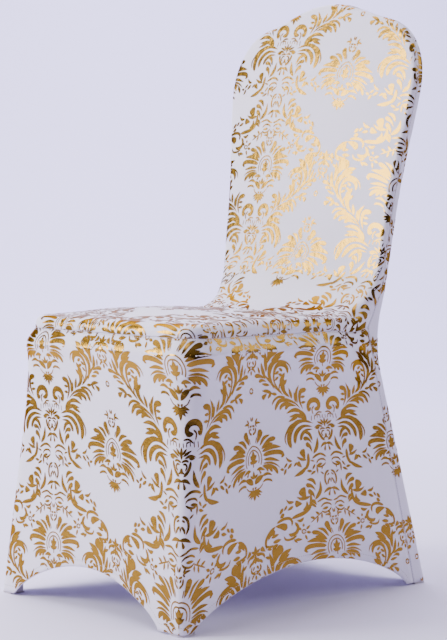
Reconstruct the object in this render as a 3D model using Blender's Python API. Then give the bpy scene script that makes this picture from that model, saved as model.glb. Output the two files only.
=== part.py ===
"""Stretch spandex cover for a banquet chair, sewn from three cloth panels and four foot pockets.

The cover is drawn in the shape it takes on a chair, standing on the floor with its front towards -Y.
Each panel is a flat pattern: a map carries the flat pattern onto the fitted surface, and the sheet gets
its thickness on the inner side. An empty then lowers everything, so that the origin is the point under
the top of the backrest from which the cover is held.
"""
import math

import bpy
import numpy as np
from mathutils.geometry import delaunay_2d_cdt

CLOTH = 0.002
SEAM_GAP = 0.00018
SOLE_TOP = 0.0020
HEM_FOOT = 0.0029

SEAT_FRONT = -0.196
SEAT_HEIGHT = 0.430
SEAM_HEIGHT = 0.411
SEAT_RUN = 0.3158
BRIDGE_RADIUS = 0.085
BACK_LEAN = math.radians(9.0)
PAD_CORNER = 0.036
SEAT_CROWN = 0.012
BACK_CROWN = 0.006
BACK_START = 0.420
CROWN_EASE = 0.130

# Half width of the front panel's outer edge, by the distance along the panel from the front of the seat.
FRONT_EDGE = (
    # half width, distance
    (0.1930, PAD_CORNER),
    (0.1930, 0.110),
    (0.1930, 0.200),
    (0.1925, 0.270),
    (0.1850, 0.318),
    (0.1725, 0.362),
    (0.1775, 0.412),
    (0.1810, 0.475),
    (0.1850, 0.551),
    (0.1927, 0.620),
    (0.1995, 0.666),
    (0.2055, 0.722),
    (0.2035, 0.753),
    (0.1963, 0.777),
    (0.1835, 0.799),
    (0.1665, 0.817),
    (0.1430, 0.8295),
    (0.1080, 0.8395),
    (0.0770, 0.8505),
    (0.0420, 0.8615),
    (0.0000, 0.8660),
)
WAIST_RUN = 0.362

# How the front panel turns over its edge: a round, then a straight fall to the seam.
FRONT_TURN = (
    # distance along the panel, radius of the round, straight fall
    (0.000, 0.014, 0.005),
    (0.290, 0.014, 0.005),
    (0.330, 0.016, 0.009),
    (0.362, 0.018, 0.018),
    (0.385, 0.014, 0.008),
    (0.412, 0.009, 0.004),
    (0.450, 0.007, 0.001),
    (1.000, 0.007, 0.001),
)

# The skirt swells over the edge of the chair's frame just under the seam.
FRAME_EDGE = (
    # depth under the seam, swell
    (-0.050, 0.0000),
    (0.000, 0.0000),
    (0.006, 0.0035),
    (0.014, 0.0085),
    (0.022, 0.0115),
    (0.030, 0.0105),
    (0.045, 0.0070),
    (0.070, 0.0035),
    (0.120, 0.0010),
    (0.200, 0.0000),
    (0.500, 0.0000),
)
FRAME_FADE = 0.12

# Depths under the seam of the skirt's rows of corners.
SKIRT_ROWS = (0.007, 0.014, 0.022, 0.032, 0.050, 0.078, 0.115, 0.155, 0.195, 0.235, 0.275, 0.315, 0.350, 0.380)

SEAM_BLEND = 0.14
HEM_SAG = 0.005

SEAM_CORNER = (0.1930, SEAT_FRONT)
FOOT_CORNERS = {"left": (0.2135, -0.2350), "right": (0.2075, -0.2287)}
FOOT_CORNER_RADIUS = 0.012
WAIST_LINE = (0.1725, 0.1823)
REAR_FOOT_LINE = (0.1880, 0.2765)

# Arched hems between the feet.
FRONT_ARCH = {"left": 0.0355, "right": 0.0495, "height": 0.0655}
SIDE_ARCH = {"front": 0.0380, "rear": 0.0150, "height": 0.0700}
REAR_ARCH = {"foot": 0.0340, "height": 0.0650}
ARCH_POWER = 0.67

REAR_FLOOR = 0.307
REAR_WAIST = (0.2065, 0.3725)
REAR_BEND = 0.150
REAR_ROUND = 0.008

POCKET_HEIGHT = 0.035
POCKET_WIDTH = 0.027

HELD_POINT = (0.0, 0.2832, 0.9225)

BESIDE = 0.045
GRID = 0.030
EDGE_STEP = 0.024


def column(table, index):
    """One column of a table as an array."""
    return np.array([row[index] for row in table])


def smooth(t):
    """A rise from 0 to 1 with level ends."""
    t = np.clip(t, 0.0, 1.0)
    return t * t * (3.0 - 2.0 * t)


def curve_through(points, per_span):
    """A smooth line through the points, with per_span steps between two of them."""
    pts = np.array(points, float)
    ends = np.vstack([2 * pts[0] - pts[1], pts, 2 * pts[-1] - pts[-2]])
    t = np.linspace(0, 1, per_span, endpoint=False)[:, None]
    line = []
    for a, b, c, d in zip(ends[:-3], ends[1:-2], ends[2:-1], ends[3:]):
        line.append(0.5 * (2 * b + (c - a) * t + (2 * a - 5 * b + 4 * c - d) * t ** 2
                           + (3 * b - a - 3 * c + d) * t ** 3))
    line.append(pts[-1:])
    return np.vstack(line)


def evenly(line, step, keep=()):
    """Points about a step apart along a line, with the numbered points among them."""
    length = np.concatenate([[0], np.cumsum(np.linalg.norm(np.diff(line, axis=0), axis=1))])
    stops = sorted({0, len(line) - 1, *keep})
    places = []
    for first, last in zip(stops[:-1], stops[1:]):
        count = max(1, round((length[last] - length[first]) / step))
        places.extend(np.linspace(length[first], length[last], count, endpoint=False))
    places.append(length[-1])
    return np.interp(places, length, np.arange(len(line)))


class Rail:
    """A line in a flat pattern, with the cloth on its left and the outside on its right."""

    def __init__(self, points):
        self.points = np.array(points, float)
        steps = np.diff(self.points, axis=0)
        steps /= np.linalg.norm(steps, axis=1)[:, None]
        sides = np.column_stack([steps[:, 1], -steps[:, 0]])
        turned = np.vstack([sides[:1], sides[:-1] + sides[1:], sides[-1:]])
        self.outward = turned / np.linalg.norm(turned, axis=1)[:, None]

    def at(self, place, values):
        """Values of the line's points, read between the points."""
        values = np.asarray(values, float)
        number = np.arange(len(self.points))
        if values.ndim == 1:
            return np.interp(place, number, values)
        return np.column_stack([np.interp(place, number, values[:, k]) for k in range(values.shape[1])])

    def nearest(self, flat):
        """For flat points: the depth inside the line, and the nearest place on it."""
        start = self.points[:-1]
        step = np.diff(self.points, axis=0)
        gap = flat[:, None, :] - start[None]
        along = np.clip((gap * step).sum(2) / (step * step).sum(1), 0.0, 1.0)
        off = gap - along[..., None] * step
        far = (off * off).sum(2)
        best = far.argmin(1)
        rows = np.arange(len(flat))
        place = best + along[rows, best]
        close = far[rows, best] < BESIDE ** 2
        for _ in range(5):
            place = np.where(close, self.straightened(flat, place), place)
        gap = flat - self.at(place, self.points)
        side = self.at(place, self.outward)
        side /= np.linalg.norm(side, axis=1)[:, None]
        inside = -(gap * side).sum(1)
        return np.where(close, inside, np.sign(inside) * np.sqrt(far[rows, best])), place

    def straightened(self, flat, place):
        """One step towards the place from which a flat point lies straight to the side."""
        corner = np.clip(np.floor(place).astype(int), 0, len(self.points) - 2)
        step = self.points[corner + 1] - self.points[corner]
        turn = self.outward[corner + 1] - self.outward[corner]
        gap = flat - self.at(place, self.points)
        side = self.at(place, self.outward)
        off = gap[:, 1] * side[:, 0] - gap[:, 0] * side[:, 1]
        slope = (step[:, 0] * side[:, 1] - step[:, 1] * side[:, 0]
                 + gap[:, 1] * turn[:, 0] - gap[:, 0] * turn[:, 1])
        return np.clip(place - np.clip(off / slope, -1.0, 1.0), 0, len(self.points) - 1)


def rounded_turn(points, radius, flat):
    """Places and directions on a side view's profile, which is two lines joined by an arc."""
    (y0, z0), (y1, z1), (y2, z2) = points
    into = np.array([y1 - y0, z1 - z0]) / math.hypot(y1 - y0, z1 - z0)
    out = np.array([y2 - y1, z2 - z1]) / math.hypot(y2 - y1, z2 - z1)
    bend = math.acos(float(np.clip(into @ out, -1, 1)))
    turn = math.copysign(1.0, into[0] * out[1] - into[1] * out[0])
    reach = radius * math.tan(bend / 2)
    first = math.hypot(y1 - y0, z1 - z0) - reach
    angle = np.clip((flat - first) / radius, 0, bend)
    left = np.array([-into[1], into[0]])
    cos, sin = np.cos(angle)[:, None], np.sin(angle)[:, None]
    place = np.array([y0, z0]) + into * np.minimum(flat, first)[:, None]
    place = place + radius * (into * sin + turn * left * (1 - cos))
    run = into * cos + turn * left * sin
    place = place + run * np.maximum(flat - first - radius * bend, 0)[:, None]
    return place, run


def front_profile(run):
    """Middle line of the seat top and the backrest, from the front of the seat to the crown."""
    meet = SEAT_RUN + BRIDGE_RADIUS * math.tan((math.pi / 2 - BACK_LEAN) / 2)
    corner = (SEAT_FRONT + meet, SEAT_HEIGHT)
    top = (corner[0] + math.sin(BACK_LEAN), corner[1] + math.cos(BACK_LEAN))
    place, tangent = rounded_turn(((SEAT_FRONT, SEAT_HEIGHT), corner, top), BRIDGE_RADIUS, run)
    normal = np.column_stack([-tangent[:, 1], tangent[:, 0]])
    return place, normal


def rear_profile(run):
    """Middle line of the rear face, from the floor to the crown."""
    lean = np.array([math.sin(BACK_LEAN), math.cos(BACK_LEAN)])
    top = (REAR_WAIST[0] + lean[0], REAR_WAIST[1] + lean[1])
    place, tangent = rounded_turn(((REAR_FLOOR, 0.0), REAR_WAIST, top), REAR_BEND, run)
    normal = np.column_stack([tangent[:, 1], -tangent[:, 0]])
    return place, normal


def half_front_edge():
    """Right half of the front panel's edge, from the middle of the seat's front to the crown."""
    width = FRONT_EDGE[0][0]
    front = [(x, 0.0) for x in np.linspace(0.0, width - PAD_CORNER, 12, endpoint=False)]
    corner = [(width - PAD_CORNER + PAD_CORNER * math.sin(a), PAD_CORNER - PAD_CORNER * math.cos(a))
              for a in np.linspace(0.0, math.pi / 2, 10, endpoint=False)]
    mirrored = (-FRONT_EDGE[-2][0], FRONT_EDGE[-2][1])
    return np.vstack([front, corner, curve_through((*FRONT_EDGE, mirrored), 8)[:-8]])


class FrontPanel:
    """The one cut of cloth over the seat top and the front of the backrest."""

    def __init__(self):
        right = half_front_edge()
        left = right[::-1][1:-1] * (-1, 1)
        self.half = len(right)
        self.rail = Rail(np.vstack([right, left, right[:1]]))
        self.rail.outward[0] = self.rail.outward[-1] = (0.0, -1.0)
        self.rail.outward[self.half - 1] = (0.0, 1.0)
        self.waist = int(np.argmin(np.abs(right[:, 1] - WAIST_RUN) + (right[:, 0] < 0.15)))
        run = self.rail.points[:, 1]
        self.radius = np.interp(run, column(FRONT_TURN, 0), column(FRONT_TURN, 1))
        self.fall = np.interp(run, column(FRONT_TURN, 0), column(FRONT_TURN, 2))

    def flat_line(self, place, turned):
        """Flat points beside the rail, where turned is 0 at the start of the round and 1 at the seam."""
        radius = self.rail.at(place, self.radius)
        fall = self.rail.at(place, self.fall)
        out = (radius * math.pi / 2 + fall) * turned - radius - SEAM_GAP * (turned == 1.0)
        return self.rail.at(place, self.rail.points) + self.rail.at(place, self.rail.outward) * out[:, None]

    def crown(self, flat):
        """How far the padding lifts the cloth."""
        x = np.abs(flat[:, 0])
        run = flat[:, 1]
        wide = FRONT_EDGE[0][0]
        seat = SEAT_CROWN * (1 - np.clip(x / wide, 0, 1) ** 3)
        seat = seat * smooth(run / CROWN_EASE) * smooth((SEAT_RUN - run) / CROWN_EASE)
        back = BACK_CROWN * (1 - np.clip(x / wide, 0, 1) ** 3)
        top = FRONT_EDGE[-1][1]
        return seat + back * smooth((run - BACK_START) / CROWN_EASE) * smooth((top - run) / CROWN_EASE)

    def place(self, flat):
        """Fitted places of flat points."""
        depth, near = self.rail.nearest(flat)
        foot = self.rail.at(near, self.rail.points)
        outward = self.rail.at(near, self.rail.outward)
        radius = self.rail.at(near, self.radius)
        over = np.maximum(radius - depth, 0.0)
        angle = np.minimum(over / radius, math.pi / 2)
        drop = radius * (1 - np.cos(angle)) + np.maximum(over - radius * math.pi / 2, 0.0)
        turned = foot - outward * (radius * (1 - np.sin(angle)))[:, None]
        under = np.where(over[:, None] > 0, turned, flat)
        middle, normal = front_profile(under[:, 1])
        lift = self.crown(under) - drop
        return np.column_stack([under[:, 0], middle + normal * lift[:, None]])

    def pattern(self):
        """The flat outline and the flat points inside it."""
        places = evenly(self.rail.points, EDGE_STEP, self.stops())[:-1]
        edge = self.flat_line(places, 1.0)
        rings = [self.flat_line(places, t) for t in (0.72, 0.36, 0.0)]
        inner = grid_inside(edge, GRID, lambda p: self.rail.nearest(p)[0] > self.radius.max() + 0.010)
        return edge, np.vstack(rings + [inner])

    def stops(self):
        """Numbers of the rail's points at the waist and the crown."""
        total = len(self.rail.points) - 1
        return self.waist, self.half - 1, total - self.waist

    def seam_places(self, first, last):
        """Places of the seam's corners between two of the rail's points."""
        places = evenly(self.rail.points, EDGE_STEP, self.stops())
        return places[(places >= first - 1e-6) & (places <= last + 1e-6)]

    def seam(self, places):
        """The seam in space, and the cloth's outward direction there."""
        radius = self.rail.at(places, self.radius)
        fall = self.rail.at(places, self.fall)
        out = radius * (math.pi / 2 - 1) + fall
        flat = self.rail.at(places, self.rail.points) + self.rail.at(places, self.rail.outward) * out[:, None]
        return self.place(flat), surface_normals(self.place, flat)


class Skirt:
    """The one band of cloth round the front and both sides, from the seat's seam to the arched hem."""

    def __init__(self, front):
        self.front = front
        half = front.seam_places(0, front.waist)
        self.seam_points, self.seam_out = front.seam(half)
        step = np.diff(self.seam_points[:, :2], axis=0)
        self.seam_run = np.concatenate([[0], np.cumsum(np.linalg.norm(step, axis=1))])
        top = np.full(len(half), SEAM_HEIGHT)
        self.top_end = self.end(top[:1], 1.0)[0]
        self.seam_run *= self.top_end / self.seam_run[-1]
        level, _ = self.level(self.seam_run, top, 1.0)
        self.seam_shift = self.seam_points - np.column_stack([level, top])

    def corners(self, height, side):
        """Plan points of a level line: middle of the front, corner and rear end, and the corner's radius."""
        fall = 1.0 - height / SEAM_HEIGHT
        seam = np.array(SEAM_CORNER)
        both = {name: seam + fall[:, None] * (np.array(foot) - seam) for name, foot in FOOT_CORNERS.items()}
        left = both["left"] * (-1, 1)
        middle = (left + both["right"]) / 2
        corner = np.where(side[:, None] > 0, both["right"], left)
        rear = np.array(WAIST_LINE) + fall[:, None] * (np.array(REAR_FOOT_LINE) - np.array(WAIST_LINE))
        rear = rear * np.column_stack([side, np.ones_like(side)])
        radius = PAD_CORNER + np.clip(fall, 0, 1.2) * (FOOT_CORNER_RADIUS - PAD_CORNER)
        return middle, corner, rear, radius

    def measures(self, height, side):
        """The stretches of a level line: straight front, arc, straight side."""
        middle, corner, rear, radius = self.corners(height, side)
        first = corner - middle
        second = rear - corner
        len1 = np.linalg.norm(first, axis=1)
        len2 = np.linalg.norm(second, axis=1)
        bend = np.arccos(np.clip((first * second).sum(1) / (len1 * len2), -1, 1))
        reach = radius * np.tan(bend / 2)
        return middle, first / len1[:, None], radius, bend, len1 - reach, len2 - reach

    def end(self, height, side):
        """How far a level line runs from the middle of the front to its rear end."""
        side = np.full(len(height), side)
        _, _, radius, bend, first, second = self.measures(height, side)
        return first + radius * bend + second

    def level(self, run, height, side):
        """Plan points along level lines, and their outward directions."""
        side = np.broadcast_to(np.asarray(side, float), run.shape)
        middle, ahead, radius, bend, first, _ = self.measures(height, side)
        left = np.column_stack([-ahead[:, 1], ahead[:, 0]]) * side[:, None]
        angle = np.clip((run - first) / radius, 0, bend)
        cos, sin = np.cos(angle)[:, None], np.sin(angle)[:, None]
        place = middle + ahead * np.minimum(run, first)[:, None]
        place = place + radius[:, None] * (ahead * sin + left * (1 - cos))
        heading = ahead * cos + left * sin
        place = place + heading * np.maximum(run - first - radius * bend, 0)[:, None]
        outward = np.column_stack([heading[:, 1], -heading[:, 0]]) * side[:, None]
        return place, outward

    def place(self, flat):
        """Fitted places of flat points, given by the run from the front's middle and the height."""
        run, height = np.abs(flat[:, 0]), flat[:, 1]
        side = np.where(flat[:, 0] >= 0, 1.0, -1.0)
        plan, outward = self.level(run, height, side)
        _, _, radius, bend, first, second = self.measures(height, side)
        share = np.clip((run - first) / (radius * bend + second), 0, None)
        top_first = self.measures(np.full(len(run), SEAM_HEIGHT), side)[4]
        seam_run = np.where(run < first, run * top_first / first, top_first + share * (self.top_end - top_first))
        fade = smooth(1 - (1 - height / SEAM_HEIGHT) / (SEAM_BLEND / SEAM_HEIGHT))
        shift = np.column_stack([np.interp(seam_run, self.seam_run, self.seam_shift[:, k]) for k in range(3)])
        shift = shift * fade[:, None] * np.column_stack([side, np.ones((len(side), 2))])
        depth = SEAM_HEIGHT - height
        swell = np.interp(depth, column(FRAME_EDGE, 0), column(FRAME_EDGE, 1))
        swell = swell * smooth((self.top_end - seam_run) / FRAME_FADE)
        middle = np.sin(np.pi * np.clip(run / first, 0, 1) + np.pi / 2) * (run < first)
        aside = np.sin(np.pi * np.clip(share, 0, 1)) * (run >= first)
        sag = HEM_SAG * np.clip(1 - height / SEAM_HEIGHT, 0, 1) ** 2 * (np.maximum(middle, 0) + aside)
        plan = plan + outward * (swell - sag)[:, None]
        return np.column_stack([plan, height]) + shift

    def hem(self, run):
        """Height of the arched hem along the band."""
        floor = np.zeros(1)
        height = np.full(len(run), HEM_FOOT)
        for name, side in (("left", -1.0), ("right", 1.0)):
            corner = self.measures(floor, np.array([side]))
            start = corner[4][0] + SIDE_ARCH["front"] - FOOT_CORNER_RADIUS
            stop = self.end(floor, side)[0] - SIDE_ARCH["rear"]
            share = (run * side - start) / (stop - start)
            height = np.maximum(height, arch(share, SIDE_ARCH["height"]))
        ends = [self.measures(floor, np.array([s]))[4][0] + FOOT_CORNER_RADIUS for s in (-1.0, 1.0)]
        start, stop = -(ends[0] - FRONT_ARCH["left"]), ends[1] - FRONT_ARCH["right"]
        return np.maximum(height, arch((run - start) / (stop - start), FRONT_ARCH["height"]))

    def pattern(self):
        """The flat outline, the flat points inside it and the fixed directions of the seam's corners."""
        top_runs = np.concatenate([-self.seam_run[::-1], self.seam_run[1:]])
        top = np.column_stack([top_runs, np.full(len(top_runs), SEAM_HEIGHT - SEAM_GAP)])
        heights = rear_heights()
        ends = self.end(heights, 1.0) - SEAM_GAP
        right = np.column_stack([ends, heights])
        left = right * (-1, 1)
        reach = self.end(np.array([HEM_FOOT]), 1.0)[0] - SEAM_GAP
        runs = np.linspace(-reach, reach, 2 * round(reach / 0.020) + 1)
        hem = np.column_stack([runs, self.hem(runs)])
        edge = np.vstack([hem, right[1:-1], top[::-1], left[::-1][1:-1]])
        rows = []
        for depth in SKIRT_ROWS:
            level = np.full(len(top_runs), SEAM_HEIGHT - depth)
            reach = self.end(level[:1], 1.0)[0] / self.top_end
            runs = top_runs * np.interp(np.abs(top_runs), (0.15, self.top_end), (1.0, reach))
            row = np.column_stack([runs, level])
            rows.append(row[(level > self.hem(runs) + 0.012) & (np.abs(runs) < self.end(level, 1.0) - 0.006)])
        return edge, np.vstack(rows)


class BackPanel:
    """The cloth over the rear face, wrapped round the backrest's edge and the rear legs' sides."""

    def __init__(self, front, skirt):
        low = np.concatenate([[-0.04], rear_heights()])
        legs = skirt.place(np.column_stack([skirt.end(low, 1.0), low]))
        legs_out = surface_normals(skirt.place, np.column_stack([skirt.end(low, 1.0), low]))
        top, top_out = front.seam(front.seam_places(front.waist, front.half - 1))
        right = np.vstack([legs[:-1], top])
        right_out = np.vstack([legs_out[:-1], top_out])
        flip = np.array((-1, 1, 1))
        self.seam_points = np.vstack([right, right[::-1][1:] * flip])
        self.seam_out = np.vstack([right_out, right_out[::-1][1:] * flip])
        runs = np.arange(-0.06, 1.05, 0.0005)
        middle, _ = rear_profile(runs)
        gap = self.seam_points[:, None, 1:] - middle[None]
        nearest = (gap ** 2).sum(2).argmin(1)
        self.rail = Rail(np.column_stack([self.seam_points[:, 0], runs[nearest]]))
        self.rail.outward[len(right) - 1] = (0.0, 1.0)
        self.wrap = np.sqrt((gap ** 2).sum(2).min(1))

    def flat_line(self, place, turned):
        """Flat points beside the rail, where turned is 0 at the start of the round and 1 at the seam."""
        strip = self.rail.at(place, self.wrap) - REAR_ROUND
        out = (REAR_ROUND * math.pi / 2 + strip) * turned - REAR_ROUND - SEAM_GAP * (turned == 1.0)
        return self.rail.at(place, self.rail.points) + self.rail.at(place, self.rail.outward) * out[:, None]

    def place(self, flat):
        """Fitted places of flat points."""
        depth, near = self.rail.nearest(flat)
        foot = self.rail.at(near, self.rail.points)
        outward = self.rail.at(near, self.rail.outward)
        over = np.maximum(REAR_ROUND - depth, 0.0)
        angle = np.minimum(over / REAR_ROUND, math.pi / 2)
        turned = foot - outward * (REAR_ROUND * (1 - np.sin(angle)))[:, None]
        under = np.where(over[:, None] > 0, turned, flat)
        middle, normal = rear_profile(under[:, 1])
        drop = REAR_ROUND * (1 - np.cos(angle))
        place = np.column_stack([under[:, 0], middle - normal * drop[:, None]])
        strip = self.rail.at(near, self.wrap) - REAR_ROUND
        share = np.maximum(over - REAR_ROUND * math.pi / 2, 0.0) / strip
        seam = self.rail.at(near, self.seam_points)
        return place + (seam - place) * share[:, None]

    def hem(self, across):
        """Height of the rear hem, by the distance from the middle."""
        inner = REAR_FOOT_LINE[0] - REAR_ARCH["foot"]
        return np.maximum(HEM_FOOT, arch((across + inner) / (2 * inner), REAR_ARCH["height"]))

    def pattern(self):
        """The flat outline and the flat points inside it."""
        places = np.arange(1, len(self.rail.points) - 1, dtype=float)
        edge = self.flat_line(places, 1.0)
        rings = [self.flat_line(places[1:-1], t) for t in (0.50, 0.25, 0.0)]
        strip = np.vstack([self.flat_line(places[:1], t) for t in (0.80, 0.60, 0.40, 0.20, 0.0)])[:, 0]
        inner = REAR_FOOT_LINE[0] - REAR_ARCH["foot"]
        bow = inner * np.sin(np.linspace(0, math.pi / 2, 9))
        half = np.concatenate([bow[1:], strip[::-1]])
        across = np.concatenate([-half[::-1], [0.0], half])
        hem = np.column_stack([across, self.hem(across)])
        for _ in range(4):
            hem[:, 1] += self.hem(across) - self.place(hem)[:, 2]
        outline = np.vstack([hem, edge])
        inner = grid_inside(outline, GRID, lambda p: (self.rail.nearest(p)[0] > REAR_ROUND + 0.012)
                            & (p[:, 1] > self.hem(p[:, 0]) + 0.015))
        return outline, np.vstack(rings + [inner])


def arch(share, height):
    """Rise of a hem's arch at a share of its width."""
    inside = (share > 0) & (share < 1)
    return np.where(inside, height * np.sin(np.pi * np.clip(share, 0, 1)) ** ARCH_POWER, 0.0)


def rear_heights():
    """Heights of the corners of the seam down each rear leg."""
    return np.concatenate([[HEM_FOOT], np.linspace(0.03, SEAM_HEIGHT - 0.022, 13), [SEAM_HEIGHT]])


def inside_outline(points, outline):
    """Which flat points lie inside a closed outline."""
    x, y = points[:, 0, None], points[:, 1, None]
    ax, ay = outline[:, 0], outline[:, 1]
    bx, by = np.roll(ax, -1), np.roll(ay, -1)
    crosses = (ay > y) != (by > y)
    rise = np.where(by == ay, 1.0, by - ay)
    return (crosses & (x < (bx - ax) * (y - ay) / rise + ax)).sum(1) % 2 == 1


def grid_inside(outline, step, wanted):
    """A staggered grid of flat points inside an outline, where wanted says yes."""
    low, high = outline.min(0), outline.max(0)
    points = []
    for row, y in enumerate(np.arange(low[1] + step, high[1], step * math.sqrt(3) / 2)):
        half = np.arange((row % 2) * step / 2, high[0], step)
        points.extend((x, y) for x in (*half, *-half[half > 0]))
    points = np.array(points)
    points = points[inside_outline(points, outline)]
    return points[wanted(points)]


def surface_normals(place, flat):
    """Outward directions of a fitted surface at flat points."""
    nudge = 0.0004
    ahead = place(flat + (nudge, 0)) - place(flat - (nudge, 0))
    above = place(flat + (0, nudge)) - place(flat - (0, nudge))
    normal = np.cross(ahead, above)
    return normal / np.linalg.norm(normal, axis=1)[:, None]


def sheet_mesh(name, outline, inner, place, flip, rim_out=None):
    """A closed mesh of a fitted sheet, with its thickness on the inner side."""
    flat = np.vstack([outline, inner])
    loop = list(range(len(outline)))
    flat_out, _, faces, *_ = delaunay_2d_cdt([tuple(p) for p in flat], [], [loop], 1, 1e-7)
    flat = np.array([tuple(p) for p in flat_out])
    outer = place(flat)
    normal = surface_normals(place, flat) * (-1 if flip else 1)
    if rim_out is not None:
        normal[:len(rim_out)] = np.where(np.isnan(rim_out), normal[:len(rim_out)], rim_out)
    inside = outer - normal * CLOTH
    count = len(flat)
    top = [tuple(f) for f in faces]
    if flip:
        top = [f[::-1] for f in top]
    rim = loop if not flip else loop[::-1]
    sides = [(b, a, a + count, b + count) for a, b in zip(rim, rim[1:] + rim[:1])]
    under = [tuple(i + count for i in f[::-1]) for f in top]
    mesh = bpy.data.meshes.new(name)
    mesh.from_pydata([tuple(p) for p in np.vstack([outer, inside])], [], top + under + sides)
    mesh.validate()
    mesh.shade_smooth()
    mesh.set_sharp_from_angle(angle=math.radians(50))
    return mesh


def rim_directions(outline, panel):
    """Shared directions for the corners of an outline that lie on a sewn seam, and blanks elsewhere."""
    edge = panel.place(outline)
    gap = ((edge[:, None] - panel.seam_points[None]) ** 2).sum(2)
    near = gap.argmin(1)
    shared = np.where(gap.min(1)[:, None] < 0.002 ** 2, panel.seam_out[near], np.nan)
    return shared


def prism(name, low, high):
    """A closed mesh between a lower and an upper outline with the same number of corners."""
    count = len(low)
    sides = [(i, (i + 1) % count, (i + 1) % count + count, i + count) for i in range(count)]
    mesh = bpy.data.meshes.new(name)
    faces = [tuple(range(count))[::-1], tuple(range(count, 2 * count))] + sides
    mesh.from_pydata([tuple(map(float, p)) for p in np.vstack([low, high])], [], faces)
    return mesh


class FootPocket:
    """A sole with two inner walls, which closes the cover round one chair foot."""

    def __init__(self, corner, along, aside, radius, lean):
        self.corner = np.array(corner)
        self.along = np.array(along) / np.linalg.norm(along)
        self.aside = np.array(aside) / np.linalg.norm(aside)
        self.radius = radius
        self.lean = np.array(lean)

    def spot(self, a, b, height):
        """A point at distances a and b inside the corner's two faces."""
        plan = self.corner + self.along * a + self.aside * b + self.lean * height
        return (*plan, height)

    def rounded(self, inset, height):
        """Corners of the sole's outline."""
        radius = self.radius - inset
        middle = inset + radius
        arc = [(middle - radius * math.cos(t), middle - radius * math.sin(t))
               for t in np.linspace(0, math.pi / 2, 5)]
        wide = POCKET_WIDTH
        outline = [(inset, wide), *arc, (wide, inset), (wide, wide)]
        return [self.spot(a, b, height) for a, b in outline]

    def wall(self, height):
        """Corners of the two inner walls' plan."""
        start = CLOTH + 0.0016
        outer, inner = POCKET_WIDTH, POCKET_WIDTH - CLOTH
        outline = [(start, outer), (start, inner), (inner, inner), (inner, start), (outer, start), (outer, outer)]
        return [self.spot(a, b, height) for a, b in outline]

    def meshes(self, name):
        """The sole and the walls as two closed meshes that overlap a little."""
        turn = np.cross(self.along, self.aside) > 0
        order = 1 if turn else -1
        sole = prism(name, self.rounded(0.0003, 0.0)[::order], self.rounded(0.0003, SOLE_TOP)[::order])
        start = SOLE_TOP / 2
        walls = prism(name + "_walls", self.wall(start)[::order], self.wall(POCKET_HEIGHT)[::order])
        return sole, walls


def pocket_list():
    """The four pockets by name."""
    pockets = {}
    rear_lean = ((WAIST_LINE[0] - REAR_FOOT_LINE[0]) / SEAM_HEIGHT, (REAR_WAIST[0] - REAR_FLOOR) / REAR_WAIST[1])
    for name, side in (("left", -1), ("right", 1)):
        x, y = FOOT_CORNERS[name]
        lean = (side * (SEAM_CORNER[0] - x) / SEAM_HEIGHT, (SEAM_CORNER[1] - y) / SEAM_HEIGHT)
        other = FOOT_CORNERS["right" if name == "left" else "left"]
        along = (-side * (x + other[0]), other[1] - y)
        aside = (side * (REAR_FOOT_LINE[0] - x), REAR_FOOT_LINE[1] - y)
        pockets[f"foot_pocket_front_{name}"] = FootPocket((side * x, y), along, aside, FOOT_CORNER_RADIUS, lean)
        corner = (side * REAR_FOOT_LINE[0], REAR_FLOOR)
        aside = (side * (x - REAR_FOOT_LINE[0]), y - REAR_FOOT_LINE[1])
        lean = (side * rear_lean[0], rear_lean[1])
        pockets[f"foot_pocket_rear_{name}"] = FootPocket(corner, (-side, 0), aside, REAR_ROUND, lean)
    return pockets


def cloth_material(name, colour, roughness, metallic):
    """A plain Principled material."""
    material = bpy.data.materials.new(name)
    material.use_nodes = True
    shader = material.node_tree.nodes["Principled BSDF"]
    shader.inputs["Base Color"].default_value = (*colour, 1.0)
    shader.inputs["Roughness"].default_value = roughness
    shader.inputs["Metallic"].default_value = metallic
    material.diffuse_color = (*colour, 1.0)
    return material


def add_piece(name, mesh, material, root):
    """An object for a mesh, under the empty that holds the cover."""
    piece = bpy.data.objects.new(name, mesh)
    bpy.context.scene.collection.objects.link(piece)
    piece.parent = root
    mesh.materials.append(material)
    return piece


def build():
    """Makes the cover."""
    for old in list(bpy.data.objects):
        bpy.data.objects.remove(old, do_unlink=True)
    root = bpy.data.objects.new("cover_held_point", None)
    bpy.context.scene.collection.objects.link(root)
    root.location = [-value for value in HELD_POINT]

    front = FrontPanel()
    skirt = Skirt(front)
    back = BackPanel(front, skirt)
    finishes = {
        "front_panel": cloth_material("front_panel_cloth", (0.86, 0.85, 0.88), 0.6, 0.0),
        "skirt": cloth_material("skirt_cloth", (0.80, 0.79, 0.86), 0.6, 0.0),
        "back_panel": cloth_material("back_panel_cloth", (0.74, 0.73, 0.82), 0.6, 0.0),
    }
    outline, inner = front.pattern()
    places = evenly(front.rail.points, EDGE_STEP, front.stops())[:-1]
    _, rim = front.seam(places)
    mesh = sheet_mesh("front_panel", outline, inner, front.place, False, rim)
    add_piece("front_panel", mesh, finishes["front_panel"], root)

    outline, inner = skirt.pattern()
    mesh = sheet_mesh("skirt", outline, inner, skirt.place, False)
    add_piece("skirt", mesh, finishes["skirt"], root)

    outline, inner = back.pattern()
    mesh = sheet_mesh("back_panel", outline, inner, back.place, True, rim_directions(outline, back))
    add_piece("back_panel", mesh, finishes["back_panel"], root)

    for name, pocket in pocket_list().items():
        sole, walls = pocket.meshes(name)
        piece = add_piece(name, sole, cloth_material(name + "_cloth", (0.70, 0.69, 0.74), 0.7, 0.0), root)
        cutter = bpy.data.objects.new(name + "_walls", walls)
        bpy.context.scene.collection.objects.link(cutter)
        cutter.parent = root
        cutter.hide_render = True
        cutter.display_type = "WIRE"
        union = piece.modifiers.new("walls", "BOOLEAN")
        union.operation = "UNION"
        union.object = cutter


build()
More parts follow.
